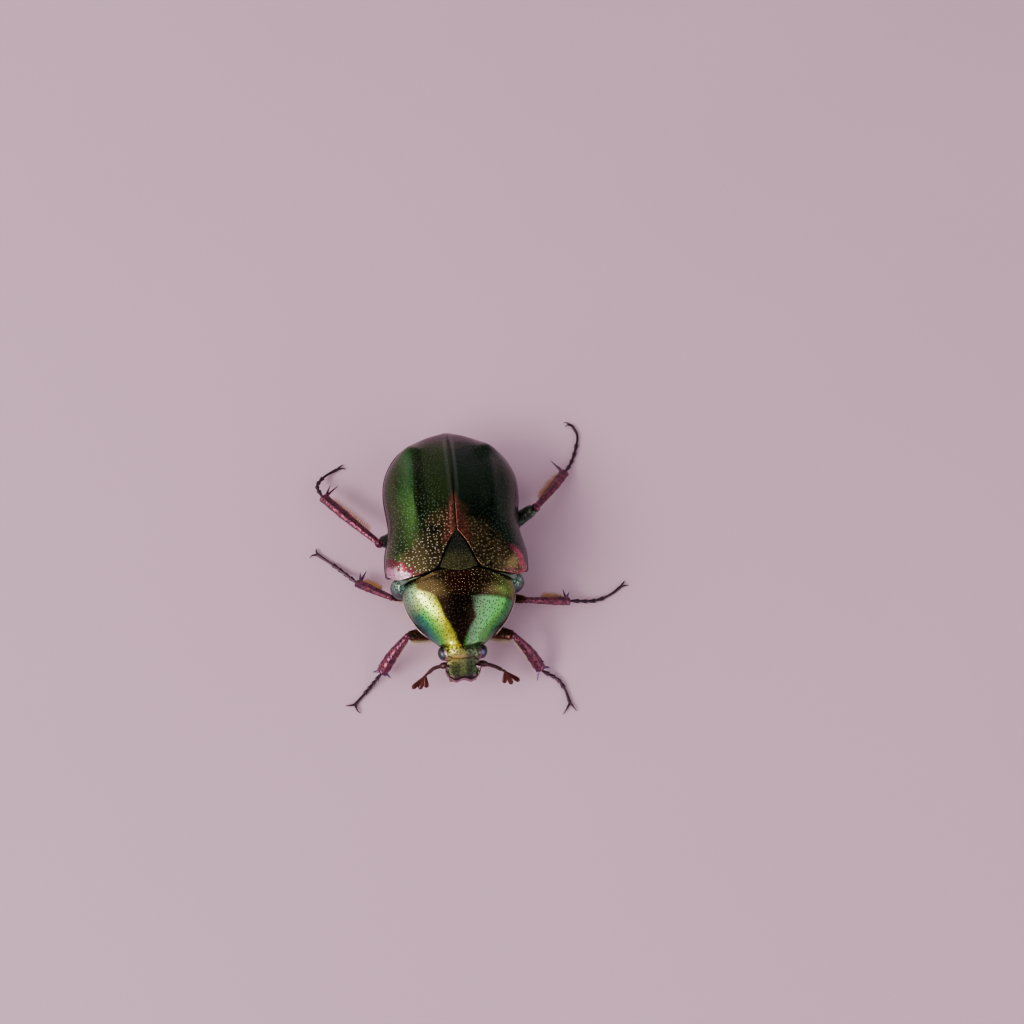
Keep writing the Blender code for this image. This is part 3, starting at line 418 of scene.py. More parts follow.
def wing_case_finish():
    """Black-green metal, bronze round the scutellum, with pink shoulders and a violet border. The right case is
    painted lighter and has a painted highlight stripe. Painted shade darkens its trough and the faces that look
    forwards or back, and painted glints fill the punctures.
    """
    f = Finish("wing_case", 1.0, 0.26)
    side = f.absolute(f.x)
    right = f.fall(f.x, -0.25, 0.25)
    # The right case is painted a lighter moss green than the left: painted light from the brighter side.
    dark = f.mix(f.noise(0.9), (0.01, 0.02, 0.014), (0.022, 0.04, 0.02))
    lit_side_moss = f.mix(f.noise(1.3), (0.028, 0.056, 0.018), (0.054, 0.09, 0.018))
    green = f.mix(f.times(right, 0.85), dark, lit_side_moss)
    # A darker band in the groove along the right case's back: painted shade.
    trough = f.blob((-2.95, 5.8), (0.42, 4.2), 0.6)
    green = f.mix(f.times(trough, 0.85), green, (0.014, 0.022, 0.008))
    # A lighter green stripe along the outer slope of the right case: a painted highlight.
    leaning = f.plus(f.x, f.ramp(f.y, 3.0, -1.0, 0.0, 0.5))
    highlight_stripe = f.times(f.fall(leaning, -3.66, -3.4), f.ramp(f.x, -5.3, -4.0),
                     f.ramp(f.y, 10.6, 9.2), f.ramp(f.y, -2.6, 3.0))
    highlight_green = f.mix(f.ramp(f.y, 2.5, 7.5), (0.052, 0.125, 0.024), (0.06, 0.205, 0.055))
    green = f.mix(f.times(highlight_stripe, 0.9), green, highlight_green)
    slant = f.plus(f.y, f.times(side, 0.98))
    front = f.fall(f.wobble(slant, 0.8, 3.2), 2.5, 4.3)
    bronze = f.mix(f.noise(1.1), (0.12, 0.07, 0.036), (0.24, 0.16, 0.062))
    bronze = f.mix(f.ramp(f.noise(0.75), 0.54, 0.66, 0.0, 0.6), bronze, (0.016, 0.026, 0.016))
    shade = f.times(f.ramp(f.x, -0.8, -2.6), f.ramp(f.y, 1.4, -0.6))
    bronze = f.mix(f.times(shade, 0.8), bronze, (0.062, 0.046, 0.02))
    # A darker patch beside the scutellum's tip.
    dark_patch = f.blob((-2.1, 0.5), (1.05, 0.5), 0.7)
    bronze = f.mix(f.times(dark_patch, f.ramp(f.noise(3.2), 0.34, 0.56), 0.9), bronze, (0.012, 0.018, 0.014))
    skin = f.mix(front, green, bronze)
    seam = f.wobble(f.plus(side, f.times(f.y, 0.26)), 1.4, 0.5)
    copper = f.times(f.fall(seam, 0.95, 1.5), f.ramp(f.y, -1.3, -0.1), f.ramp(f.y, 4.8, 3.2))
    skin = f.mix(f.times(copper, 0.85), skin, (0.47, 0.135, 0.095))
    ridge = f.times(f.ramp(side, 0.16, 0.26), f.fall(side, 0.42, 0.6), f.ramp(f.y, 2.5, 5.0))
    skin = f.mix(f.times(ridge, 0.5), skin, (0.11, 0.15, 0.11))
    corner = f.wobble(f.minus(f.y, f.times(side, 0.75)), 1.8, 0.9)
    streak = f.ramp(f.noise(2.6), 0.46, 0.58)
    pink = f.mix(f.ramp(f.wobble(corner, 2.4, 1.0), -6.75, -6.35), (0.7, 0.4, 0.53), (0.14, 0.024, 0.036))
    patch = f.times(right, f.fall(corner, -5.95, -5.65), f.ramp(side, 3.0, 4.0))
    skin = f.mix(f.times(patch, f.ramp(streak, 0.0, 1.0, 1.0, 0.72)), skin, pink)
    band = f.plus(f.plus(f.y, -7.82), f.times(f.wobble(side, 1.5, 0.35), 1.75))
    band = f.fall(f.absolute(band), 0.5, 1.15)
    band = f.times(band, f.ramp(f.y, -0.6, -1.5))
    edge = f.times(f.ramp(f.y, -2.9, -3.3), f.ramp(side, 3.6, 4.6), 0.8)
    band = f.times(f.largest(band, edge), f.ramp(f.x, -0.25, 0.25))
    skin = f.mix(f.times(band, f.ramp(streak, 0.0, 1.0, 0.95, 0.35)), skin, (0.43, 0.07, 0.13))
    rear = f.ramp(f.wobble(f.y, 0.9, 1.2), 10.5, 11.9)
    skin = f.mix(f.times(rear, 0.85), skin, (0.06, 0.042, 0.052))
    low = f.fall(f.z, 5.5, 6.5)
    skin = f.mix(f.times(low, 0.85), skin, (0.05, 0.028, 0.044))
    skin = f.mix(f.fall(side, 0.05, 0.11), skin, (0.01, 0.006, 0.008))
    # Faces that look forwards or back are painted darker: painted shade.
    skin = f.mix(f.times(f.walls(), 0.7), skin, (0.03, 0.014, 0.02))
    # Pale dots in the punctures, fading in places: painted glints.
    pit = f.pits(3.3, 0.225, f.rolled(*BACK_ROLL))
    fade = f.times(f.ramp(f.y, -1.0, 6.0, 1.0, 0.42), f.ramp(f.noise(2.2), 0.3, 0.62, 0.35, 1.0),
                   f.ramp(f.x, -1.5, 1.0, 1.0, 0.38), f.ramp(side, 0.5, 1.7, 0.45, 1.0))
    painted_pit_light = f.mix(front, (0.26, 0.34, 0.26), (0.9, 0.82, 0.56))
    painted_pit_light = f.mix(low, painted_pit_light, (0.56, 0.46, 0.54))
    colour = f.mix(f.times(pit, fade, 0.95), skin, painted_pit_light)
    height = f.minus(f.times(f.noise(1.4), 0.6), f.times(pit, fade))
    return f.finish(colour, (0.22, 0.34), height, 0.00005, 0.9)


def pronotum_finish():
    """Brown at the base, a black wedge along the middle and yellow to teal lobes at the sides. The wedge is a
    painted reflection of dark surroundings, the lobes' brightness and borders are painted reflections of the
    windows, and the punctures hold painted glints and painted shade.
    """
    f = Finish("pronotum_shell", 1.0, 0.22)
    # The lobes are drawn where the windows are mirrored: the shell's own yellow to teal, with painted
    # reflections giving their brightness and borders.
    along = f.maths("DIVIDE", f.plus(f.y, 9.6), 6.2)
    left_edge = f.times(f.level(along, (0.0, 0.02), (0.19, 0.18), (0.42, 0.39), (0.68, 0.58), (0.8, 0.92),
                                (1.0, 1.0)), -4.1)
    right_edge = f.times(f.level(along, (0.0, 0.02), (0.13, 0.2), (0.36, 1.0), (0.6, 0.78), (1.0, 0.78)), 1.2)
    half = f.ramp(f.y, -9.6, -5.4, 2.2, 5.0)
    reach = f.maths("DIVIDE", f.wobble(f.absolute(f.x), 0.8, 0.35), half)
    left = f.colours(reach, (0.0, (0.7, 0.6, 0.03)), (0.46, (0.78, 0.78, 0.04)), (0.62, (0.34, 0.64, 0.05)),
                     (0.75, (0.1, 0.46, 0.09)), (0.87, (0.04, 0.24, 0.15)), (1.0, (0.02, 0.08, 0.1)))
    # This lobe is painted darker towards its rear and brighter at its front: painted light.
    left = f.mix(f.ramp(f.y, -7.8, -6.2, 0.0, 0.28), left, (0.05, 0.08, 0.01))
    # A pale yellow patch near the lobe's rear corner: a painted reflection of the window.
    corner_reflection = f.blob((-3.7, -5.1), (1.5, 1.1), 0.6)
    reflection_tone = f.mix(f.ramp(f.x, -4.7, -3.3), (0.3, 0.54, 0.3), (0.6, 0.6, 0.14))
    left = f.mix(f.times(corner_reflection, 0.8), left, reflection_tone)
    right = f.colours(reach, (0.0, (0.1, 0.42, 0.06)), (0.28, (0.16, 0.25, 0.14)), (0.55, (0.15, 0.41, 0.14)),
                      (0.76, (0.11, 0.42, 0.08)), (0.9, (0.04, 0.24, 0.07)), (1.0, (0.02, 0.08, 0.06)))
    brown = f.mix(f.noise(1.2), (0.085, 0.052, 0.022), (0.165, 0.104, 0.038))
    brown = f.mix(f.times(f.blob((0.0, -4.2), (1.2, 1.2), 0.5), 0.9), brown, (0.15, 0.03, 0.018))
    brown = f.mix(f.ramp(f.x, 2.4, 4.4, 0.0, 0.85), brown, (0.12, 0.215, 0.04))
    # In front of the base the middle is near black: a painted reflection of dark surroundings.
    base = f.ramp(f.wobble(f.y, 1.2, 0.5), -5.9, -5.1)
    skin = f.mix(base, f.mix(f.noise(0.8), (0.014, 0.008, 0.006), (0.036, 0.016, 0.008)), brown)
    on_left = f.fall(f.minus(f.wobble(f.x, 1.6, 0.35), left_edge), -0.22, 0.18)
    skin = f.mix(on_left, skin, left)
    on_right = f.times(f.ramp(f.minus(f.wobble(f.x, 1.6, 0.3), right_edge), -0.18, 0.22),
                       f.ramp(f.y, -5.55, -5.9))
    skin = f.mix(on_right, skin, right)
    flat = f.rolled(*PRONOTUM_ROLL)
    lit = f.largest(on_left, on_right)
    # Punctures: painted glints where the shell is dark, and painted shade in the lit lobes.
    spark = f.mix(base, f.pits(3.4, 0.13, flat), f.pits(3.4, 0.17, flat))
    pit = f.mix(lit, spark, f.pits(3.4, 0.235, flat))
    pit_glint = f.mix(base, (0.26, 0.24, 0.18), (0.56, 0.48, 0.26))
    painted_pit_light = f.mix(lit, pit_glint, (0.016, 0.03, 0.016))
    seen = f.ramp(f.noise(2.0), 0.3, 0.6, 0.25, 0.95)
    colour = f.mix(f.times(pit, f.largest(seen, f.times(lit, 0.95))), skin, painted_pit_light)
    height = f.minus(f.times(f.noise(1.6), 0.5), pit)
    return f.finish(colour, (0.17, 0.28), height, 0.00005, 0.9)


def scutellum_finish():
    """Olive gold, with dark borders."""
    f = Finish("scutellum_shell", 1.0, 0.25)
    skin = f.mix(f.noise(1.6), (0.2, 0.185, 0.085), (0.33, 0.295, 0.135))
    skin = f.mix(f.ramp(f.wobble(f.y, 1.5, 0.8), -2.3, -1.2), skin, (0.095, 0.105, 0.08))
    rim = f.plus(f.absolute(f.x), f.times(f.plus(f.y, 3.0), 0.46))
    skin = f.mix(f.ramp(rim, 1.52, 1.72), skin, (0.02, 0.014, 0.014))
    pit = f.pits(4.2, 0.2, f.rolled(*BACK_ROLL))
    colour = f.mix(f.times(pit, 0.18), skin, (0.36, 0.3, 0.14))
    return f.finish(colour, (0.22, 0.34), f.minus(0.5, pit), 0.000015, 0.4)


def head_finish():
    """Gold-green, coarsely punctured, with a violet rim round the clypeus; the gold of the right half is partly
    a painted reflection, and the punctures hold painted shade.
    """
    f = Finish("head_shell", 1.0, 0.3)
    # The right half is painted gold and the left dark green: partly the head's own colour and partly a painted
    # reflection from the brighter side.
    skin = f.mix(f.ramp(f.wobble(f.x, 1.2, 1.0), -0.3, 0.5), (0.6, 0.54, 0.15), (0.12, 0.15, 0.085))
    skin = f.mix(f.ramp(f.wobble(f.y, 1.0, 0.7), -10.6, -9.9, 0.9, 0.0), skin, (0.07, 0.098, 0.05))
    middle = f.times(f.fall(f.absolute(f.x), 0.16, 0.42), f.ramp(f.y, -9.9, -10.3))
    skin = f.mix(f.times(middle, 0.6), skin, (0.33, 0.38, 0.14))
    front = f.fall(f.wobble(f.y, 2.0, 0.25), -11.45, -11.05)
    edge = f.ramp(f.absolute(f.x), 1.25, 1.55)
    skin = f.mix(f.times(f.largest(front, edge), 0.85), skin, (0.23, 0.085, 0.15))
    # Punctures painted dark: painted shade.
    pit = f.pits(4.0, 0.34, f.rolled(*HEAD_ROLL))
    colour = f.mix(f.times(pit, 0.8), skin, (0.035, 0.028, 0.014))
    return f.finish(colour, (0.24, 0.42), f.minus(0.5, pit), 0.00008, 1.0)


def rim_finish(name, first, second):
    f = Finish(name, 1.0, 0.3)
    return f.finish(f.mix(f.noise(1.2), first, second), (0.24, 0.38), f.noise(7.0), 0.00001, 0.5)


def underside_finish():
    """Green-bronze breast and belly, with teal side plates that lighten towards the top as a painted highlight,
    painted shade where the thorax shows in the gaps between the shells, and painted shade in the punctures.
    """
    f = Finish("underside", 1.0, 0.3)
    skin = f.mix(f.noise(0.6), (0.05, 0.12, 0.07), (0.18, 0.11, 0.055))
    plate = f.times(f.ramp(f.absolute(f.x), 4.4, 4.9), f.ramp(f.y, -2.2, -2.8), f.ramp(f.z, 3.4, 4.4))
    # Teal that is lighter towards the top: a painted highlight over the plates' colour.
    teal = f.mix(f.ramp(f.wobble(f.z, 1.6, 1.0), 5.0, 6.1), (0.06, 0.09, 0.095), (0.2, 0.33, 0.25))
    skin = f.mix(plate, skin, teal)
    # The top of the thorax, seen only through the gaps between the shells, is painted near black: painted
    # shade.
    seam = f.largest(f.ramp(f.z, 6.4, 7.0), f.times(f.ramp(f.z, 5.9, 6.3), f.ramp(f.y, -2.9, -2.4)))
    outer = f.ramp(f.absolute(f.x), 3.0, 3.9, 1.0, 0.35)
    skin = f.mix(f.times(seam, outer), skin, (0.012, 0.01, 0.01))
    # Punctures painted darker: painted shade.
    pit = f.pits(3.4, 0.26)
    colour = f.mix(f.times(pit, 0.6), skin, (0.03, 0.03, 0.026))
    return f.finish(colour, (0.26, 0.44), f.minus(0.5, pit), 0.00005, 0.8)


def plate_finish():
    """Side plates: slate below and mint above, darker below and lighter above as painted shade and a painted
    highlight; finely wrinkled across, with painted shade in the creases.
    """
    f = Finish("side_plate", 1.0, 0.34)
    # Darker below and mint above: painted shade and a painted highlight over the plate's slate and mint.
    skin = f.colours(f.ramp(f.wobble(f.z, 1.6, 0.8), 3.9, 6.3), (0.0, (0.05, 0.046, 0.036)),
                     (0.4, (0.06, 0.085, 0.09)), (0.66, (0.09, 0.14, 0.17)), (1.0, (0.26, 0.42, 0.31)))
    # The hollows of the wrinkles are painted darker: painted shade in the creases.
    wrinkle = f.ramp(f.noise(5.5, 4.0), 0.4, 0.58)
    colour = f.mix(wrinkle, (0.04, 0.07, 0.072), skin)
    return f.finish(colour, (0.28, 0.44), wrinkle, 0.00007, 0.9)


def leg_finish(name, copper, violet, blue):
    """Punctured metal in soft patches, with painted shade in the punctures, turning blue near the feet as a
    painted glint.
    """
    f = Finish(name, 1.0, 0.28)
    skin = f.mix(f.ramp(f.noise(2.0), 0.32, 0.68), copper, violet)
    # Bluer low down, towards the floor: a painted blue glint at the ends of the legs.
    tip = f.fall(f.z, 0.7, 1.5)
    skin = f.mix(f.times(tip, 0.55), skin, blue)
    # Punctures painted dark: painted shade.
    pit = f.pits(4.4, 0.42)
    colour = f.mix(f.times(pit, 0.55), skin, (0.03, 0.008, 0.018))
    height = f.minus(f.times(f.noise(3.0), 0.6), pit)
    return f.finish(colour, (0.22, 0.4), height, 0.0001, 1.0)


def plain_finish(name, metallic, dark, light, scale, roughness, coat=0.0):
    """Two close tones in soft patches, for small dark pieces."""
    f = Finish(name, metallic, 0.3, coat)
    return f.finish(f.mix(f.noise(scale), dark, light), roughness, f.noise(8.0), 0.00001, 0.5)


def eye_finish():
    """Glossy black facets with a painted blue sheen."""
    f = Finish("eye", 0.0, 0.09, coat=0.25)
    facets = f.cells(16.0, 0.25)
    f.shader.inputs["IOR"].default_value = 1.42
    colour = f.mix(f.ramp(f.noise(1.0), 0.3, 0.7), (0.004, 0.005, 0.009), (0.012, 0.008, 0.009))
    away = f.length(f.minus(f.absolute(f.x), EYE_SHEEN[0]), f.minus(f.y, EYE_SHEEN[1]))
    sheen = f.fall(away, 0.06, 0.3)
    colour = f.mix(f.times(sheen, 0.8), colour, (0.11, 0.15, 0.27))
    return f.finish(colour, (0.07, 0.13), facets, 0.000006, 0.35)


# Body

SEAM_DRAW = 0.1  # how far a wing case's inner border is drawn inwards
SEAM_HALF = 0.008  # how near to the midline it may come
SCUTELLUM_GROWN = (1.07, 1.05)
SCUTELLUM_MIDDLE = -2.0  # the Y that keeps its place when the scutellum's skin grows
BASE_LINE = -4.35  # where the pronotum's back ends and its rear edge starts


def close_seam(obj, sign):
    """Draws a wing case up to the midline, and sinks a trough and lifts a ridge along its back."""
    spots = spots_of(obj.data)
    x = spots[:, 0] * sign
    near = np.clip(1.0 - (x - 0.12) / 0.7, 0.0, 1.0)
    spots[:, 0] -= sign * SEAM_DRAW * near
    spots[:, 0] = sign * np.maximum(spots[:, 0] * sign, SEAM_HALF)
    spots[:, 2] += 0.06 * np.clip(1.0 - np.abs(x - 0.3) / 0.3, 0.0, 1.0)
    between = np.clip((spots[:, 1] - 1.5) / 3.0, 0, 1) * np.clip((10.4 - spots[:, 1]) / 2.0, 0, 1)
    top = between * np.clip((spots[:, 2] - 5.5) / 1.5, 0, 1)
    spots[:, 2] -= 0.13 * top * np.exp(-((x - 2.75) / 0.55) ** 2)
    spots[:, 2] += 0.09 * top * np.exp(-((x - 3.7) / 0.45) ** 2)
    move_spots(obj.data, spots)


def level_base(obj):
    """Takes the lip off the middle of the pronotum's rear edge, down to the line of its back."""
    spots = spots_of(obj.data)
    back = spots[(np.abs(spots[:, 1] - BASE_LINE) < 0.1) & (spots[:, 2] > 7.5)]
    back = back[np.argsort(back[:, 0])]
    line = np.interp(spots[:, 0], back[:, 0], back[:, 2]) + 0.02
    rear = (spots[:, 1] > BASE_LINE) & (np.abs(spots[:, 0]) < 2.6)
    spots[rear, 2] = np.minimum(spots[rear, 2], line[rear])
    move_spots(obj.data, spots)


def draw_forward(obj, reach, depth):
    """Draws the front end of a skin forwards, against the piece before it."""
    spots = spots_of(obj.data)
    share = np.clip(1.0 - (spots[:, 1] - spots[:, 1].min()) / depth, 0.0, 1.0)
    spots[:, 1] -= reach * share
    move_spots(obj.data, spots)


def seam_route(obj, stations):
    """Points along the inner border of a wing case."""
    spots = spots_of(obj.data)
    route = []
    for y in stations:
        near = spots[(np.abs(spots[:, 1] - y) < 0.25) & (np.abs(spots[:, 0]) < 0.7)]
        route.append((0.0, y, near[:, 2].max() - 0.22))
    return route


def outline_route(obj, sign, stations, rise, inset):
    """Points along the outermost side of a skin, one for each station along Y."""
    spots = spots_of(obj.data)
    route = []
    for y in stations:
        slab = spots[np.abs(spots[:, 1] - y) < 0.22]
        outer = slab[np.argmax(slab[:, 0] * sign)]
        route.append((outer[0] - sign * inset, y, outer[2] + rise))
    return route


def build_wing_cases():
    """Both wing cases with their rims, and the dark strip under the seam between them."""
    wing = wing_case_finish()
    dark = rim_finish("dark_rim", (0.014, 0.007, 0.011), (0.04, 0.02, 0.032))
    for side, sign in SIDES:
        case = refined(f"elytron_{side}", f"wing_case_{side}", 3, 50, 0.6)
        close_seam(case, sign)
        dress(case, wing, "wing_case", f"elytron_{side}")
        route = smooth_path(outline_route(case, sign, np.linspace(-2.4, 11.6, 15), -0.05, 0.03), 70)
        rim = tube(f"case_rim_{side}", route, [0.085] * 70)
        dress(rim, dark, "wing_case")
    black = plain_finish("seam_black", 0.0, (0.002, 0.002, 0.002), (0.006, 0.004, 0.004), 2.0, (0.6, 0.75))
    route = smooth_path(seam_route(case, np.linspace(0.7, 11.2, 12)), 60)
    dress(tube("seam", route, [0.13] * 60), black, "wing_case")


def build_pronotum():
    shield = refined("pronotum", "pronotum_skin", 3, 40, 0.6)
    level_base(shield)
    dress(shield, pronotum_finish(), "pronotum_shell", "pronotum")
    pale = rim_finish("pale_rim", (0.42, 0.26, 0.25), (0.3, 0.18, 0.2))
    for side, sign in SIDES:
        route = smooth_path(outline_route(shield, sign, np.linspace(-8.2, -4.2, 9), 0.0, 0.05), 50)
        radii = [0.075 * min(1.0, 0.15 + 0.12 * min(k, 49 - k)) for k in range(50)]
        dress(tube(f"shield_rim_{side}", route, radii), pale, "pronotum_shell")


def build_scutellum():
    triangle = refined("scutellum", "scutellum_skin", 3)
    spots = spots_of(triangle.data)
    spots[:, 0] *= SCUTELLUM_GROWN[0]
    spots[:, 1] = SCUTELLUM_MIDDLE + (spots[:, 1] - SCUTELLUM_MIDDLE) * SCUTELLUM_GROWN[1]
    move_spots(triangle.data, spots)
    dress(triangle, scutellum_finish(), "scutellum_shell", "scutellum")


def build_underside():
    under = underside_finish()
    slate = plate_finish()
    for node in ("thorax", "abdomen", "pygidium"):
        skin = refined(node, f"{node}_skin", 2)
        if node == "abdomen":
            draw_forward(skin, 0.2, 0.5)
        dress(skin, under, "underside", node)
    for side, sign in SIDES:
        plate = ball(f"side_plate_{side}", (sign * 4.9, -3.2, 4.98), (1.22, 1.04, 1.43), segments=36, rings=24)
        spots = spots_of(plate.data)
        out = np.clip((spots[:, 0] * sign - 4.4) / 1.7, 0, 1)
        spots[:, 1] = np.maximum(spots[:, 1], -4.2 + 0.75 * out ** 2)
        move_spots(plate.data, spots)
        step = plate.modifiers.new("ease", "SMOOTH")
        step.iterations = 2
        apply_all(plate)
        dress(plate, slate, "underside")


EYE_CENTRE = (1.74, -9.5, 4.62)


def build_head():
    gold = head_finish()
    dress(refined("head", "head_skin", 3, 50, 0.5, 3), gold, "head_shell", "head")
    dress(ball("crown", (0.0, -9.42, 4.72), (1.66, 0.72, 0.92), segments=40, rings=24), gold, "head_shell")
    eye = eye_finish()
    x, y, z = EYE_CENTRE
    for side, sign in SIDES:
        dress(refined(f"eye_{side}", f"eye_ball_{side}", 2, 60), eye, "eye", f"eye_{side}")
        border = ball(f"eye_socket_{side}", (sign * (x - 0.36), y, z + 0.02), (0.52, 0.74, 0.76),
                      (0, 0, -12 * sign), 32, 20)
        dress(border, gold, "head_shell")
    brown = plain_finish("mouth_brown", 0.2, (0.05, 0.014, 0.01), (0.15, 0.045, 0.025), 1.6, (0.28, 0.42))
    dress(refined("mouthparts", "jaws", 2, 75), brown, "feeler", "mouthparts")


# Feelers

FEELERS = {
    "right": {"stalk": [(-1.1, -10.2, 3.7), (-1.75, -10.2, 3.45), (-2.1, -10.2, 3.25),
                        (-2.55, -10.22, 2.95), (-3.06, -10.44, 2.45)],
              "club": [(-4.6, -11.6, 1.75), (-3.95, -11.65, 1.55), (-3.3, -11.6, 1.7)]},
    "left": {"stalk": [(1.15, -10.22, 3.7), (1.85, -10.25, 3.45), (2.3, -10.3, 3.25),
                       (2.9, -10.4, 2.9), (3.5, -10.57, 2.45)],
             "club": [(5.15, -11.55, 1.75), (4.45, -11.75, 1.55), (3.75, -11.65, 1.7)]},
}
BEADS = 7
SCAPE_SHARE = 0.42  # the share of the stalk's length that its first, thick segment takes
STALK_STEPS = 84


def stalk_radius(share):
    """A thick scape, then a thin stalk of beads."""
    if share < SCAPE_SHARE:
        return 0.18 + 0.13 * sin(pi * (share / SCAPE_SHARE) ** 1.4) ** 0.8
    bead = ((share - SCAPE_SHARE) / (1 - SCAPE_SHARE) * BEADS) % 1.0
    return 0.115 + 0.075 * sin(pi * bead) ** 0.7


def build_feelers():
    stalk_brown = plain_finish("stalk_brown", 0.6, (0.022, 0.006, 0.01), (0.08, 0.02, 0.024), 2.0,
                               (0.24, 0.36))
    club_red = plain_finish("club_red", 0.6, (0.04, 0.005, 0.005), (0.11, 0.014, 0.012), 1.6,
                            (0.26, 0.38))
    flat = cross_section("leaf_section", [(cos(a), 0.34 * sin(a)) for a in np.linspace(0, 2 * pi, 17)[:-1]])
    for side, feeler in FEELERS.items():
        route = smooth_path(feeler["stalk"], STALK_STEPS)
        end = route[-1]
        ahead = unit(route[-1] - route[-6])
        root = end + 0.42 * ahead
        route = np.concatenate([route, [end + 0.2 * ahead, root]])
        radii = [stalk_radius(s) for s in np.linspace(0, 1, STALK_STEPS)] + [0.13, 0.12]
        dress(tube(f"feeler_stalk_{side}", route, radii), stalk_brown, "feeler", f"antenna_{side}")
        leaves = []
        for number, tip in enumerate(feeler["club"]):
            way = np.array(tip) - root
            sag = np.array((0, 0, 0.05 * (number - 1)))
            places = np.linspace(-0.1, 1.0, 16)
            path = [root + s * way + sag * sin(pi * max(s, 0)) for s in places]
            widths = np.interp(places, [-0.1, 0.15, 0.45, 0.75, 0.92, 0.98, 1.0],
                               [0.07, 0.11, 0.18, 0.24, 0.21, 0.12, 0.04])
            leaves.append(tube("leaf", path, widths, flat))
        dress(joined(leaves, f"feeler_club_{side}"), club_red, "feeler", f"antenna_club_{side}")
    bpy.data.objects.remove(flat)


# Legs

# A shin starts where its thigh ends, and a foot where its shin ends
LEGS = {
    "fore_right": {
        "thigh": [(-1.5, -6.15, 1.9), (-3.2, -6.75, 2.6), (-4.77, -7.2, 3.4)], "thick": 0.6,
        "shin": [(-6.1, -8.4, 2.3), (-7.34, -9.7, 0.8)],
        "foot": [(-8.47, -10.84, 0.36), (-9.75, -12.2, 0.3)],
        "claws": [(-10.63, -12.25, 0.07), (-9.28, -13.03, 0.07)],
        "spurs": [(0.9, -0.45, -0.2)], "outward": (-0.75, 0.1, 0.1), "inward": (0.55, -0.65, -0.3)},
    "fore_left": {
        "thigh": [(1.5, -6.15, 1.9), (3.3, -7.0, 2.6), (4.88, -7.79, 3.4)], "thick": 0.6,
        "shin": [(6.2, -9.0, 2.3), (7.4, -10.36, 0.8)],
        "foot": [(8.96, -11.33, 0.38), (9.4, -12.13, 0.33), (9.72, -13.4, 0.3)],
        "claws": [(8.99, -14.44, 0.07), (10.28, -14.24, 0.07)],
        "spurs": [(-0.5, -0.9, -0.2)], "outward": (0.75, 0.1, 0.1), "inward": (-0.55, -0.65, -0.3)},
    "mid_right": {
        "thigh": [(-2.0, -1.9, 1.5), (-4.2, -2.8, 2.3), (-6.06, -3.33, 3.3)], "thick": 0.58,
        "shin": [(-7.7, -2.0, 2.2), (-9.24, -0.61, 0.9)],
        "foot": [(-11.26, 1.43, 0.4), (-12.9, 2.8, 0.3)],
        "claws": [(-12.95, 3.5, 0.07), (-13.65, 2.55, 0.07)],
        "spurs": [(0.95, 1.2, -0.15), (0.35, 1.1, -0.25)], "inward": (0.55, 0.75, -0.1)},
    "mid_left": {
        "thigh": [(2.0, -1.9, 1.5), (4.3, -3.4, 2.3), (6.34, -4.34, 3.3)], "thick": 0.58,
        "shin": [(8.6, -4.1, 2.2), (10.76, -3.72, 0.9)],
        "foot": [(13.91, -3.49, 0.36), (15.2, -2.9, 0.32), (15.95, -2.35, 0.3)],
        "claws": [(16.55, -1.65, 0.07), (16.85, -2.2, 0.07)],
        "spurs": [(-0.5, 1.25, -0.15), (0.1, 1.0, -0.25)], "inward": (-0.1, 1.0, -0.1)},
    "hind_right": {
        "thigh": [(-2.2, 2.8, 1.5), (-4.9, 3.3, 2.0), (-6.93, 2.5, 2.7)], "thick": 0.88,
        "shin": [(-9.7, 5.35, 2.4), (-12.31, 8.26, 1.9)],
        "foot": [(-12.75, 9.77, 1.2), (-12.12, 11.12, 0.6), (-10.9, 12.05, 0.3)],
        "claws": [(-10.2, 12.65, 0.07), (-10.0, 12.1, 0.07)],
        "spurs": [(1.6, 1.2, -0.35), (0.85, 1.35, -0.4)], "inward": (0.75, 0.65, -0.1)},
    "hind_left": {
        "thigh": [(2.2, 2.8, 1.5), (5.0, 3.65, 2.3), (8.07, 4.8, 4.0)], "thick": 0.88,
        "shin": [(10.2, 7.6, 2.5), (11.97, 10.26, 0.9)],
        "foot": [(12.69, 11.37, 0.45), (13.4, 13.0, 0.34), (13.8, 15.1, 0.32),
                 (13.45, 16.0, 0.3)],
        "claws": [(12.6, 16.5, 0.07), (12.75, 15.95, 0.07)],
        "spurs": [(-1.35, 1.4, -0.1), (-0.65, 0.75, -0.1)], "inward": (-0.85, 0.5, -0.1)},
}
THIGH_SWELL = [0.7, 0.86, 1.0, 1.0, 0.88, 0.74, 0.68]
SHIN_SWELL = {"fore": [0.3, 0.36, 0.45, 0.52, 0.53, 0.48], "mid": [0.28, 0.3, 0.35, 0.4, 0.42, 0.44],
              "hind": [0.3, 0.32, 0.38, 0.44, 0.44, 0.48]}
FORE_THICKER = 1.16
THIGH_STEPS = 26
SHIN_STEPS = 34
FOOT_STEPS = 110
TARSOMERES = [0.17, 0.15, 0.15, 0.16, 0.37]
FOOT_SINK = 0.13  # how much lower the slim foot lies than the route of its stouter solid


def even(values, count):
    return np.interp(np.linspace(0, 1, count), np.linspace(0, 1, len(values)), values)


def round_ends(radii, share_start, share_end):
    """Draws a tube's radii in towards both of its ends, as a ball's end would."""
    places = np.linspace(0, 1, len(radii))
    shaped = np.array(radii, float)
    for reach, way in ((share_start, places), (share_end, 1 - places)):
        part = np.clip(way / reach, 0, 1)
        shaped *= np.sqrt(np.clip(1 - (1 - part) ** 2, 0.05, 1))
    return shaped


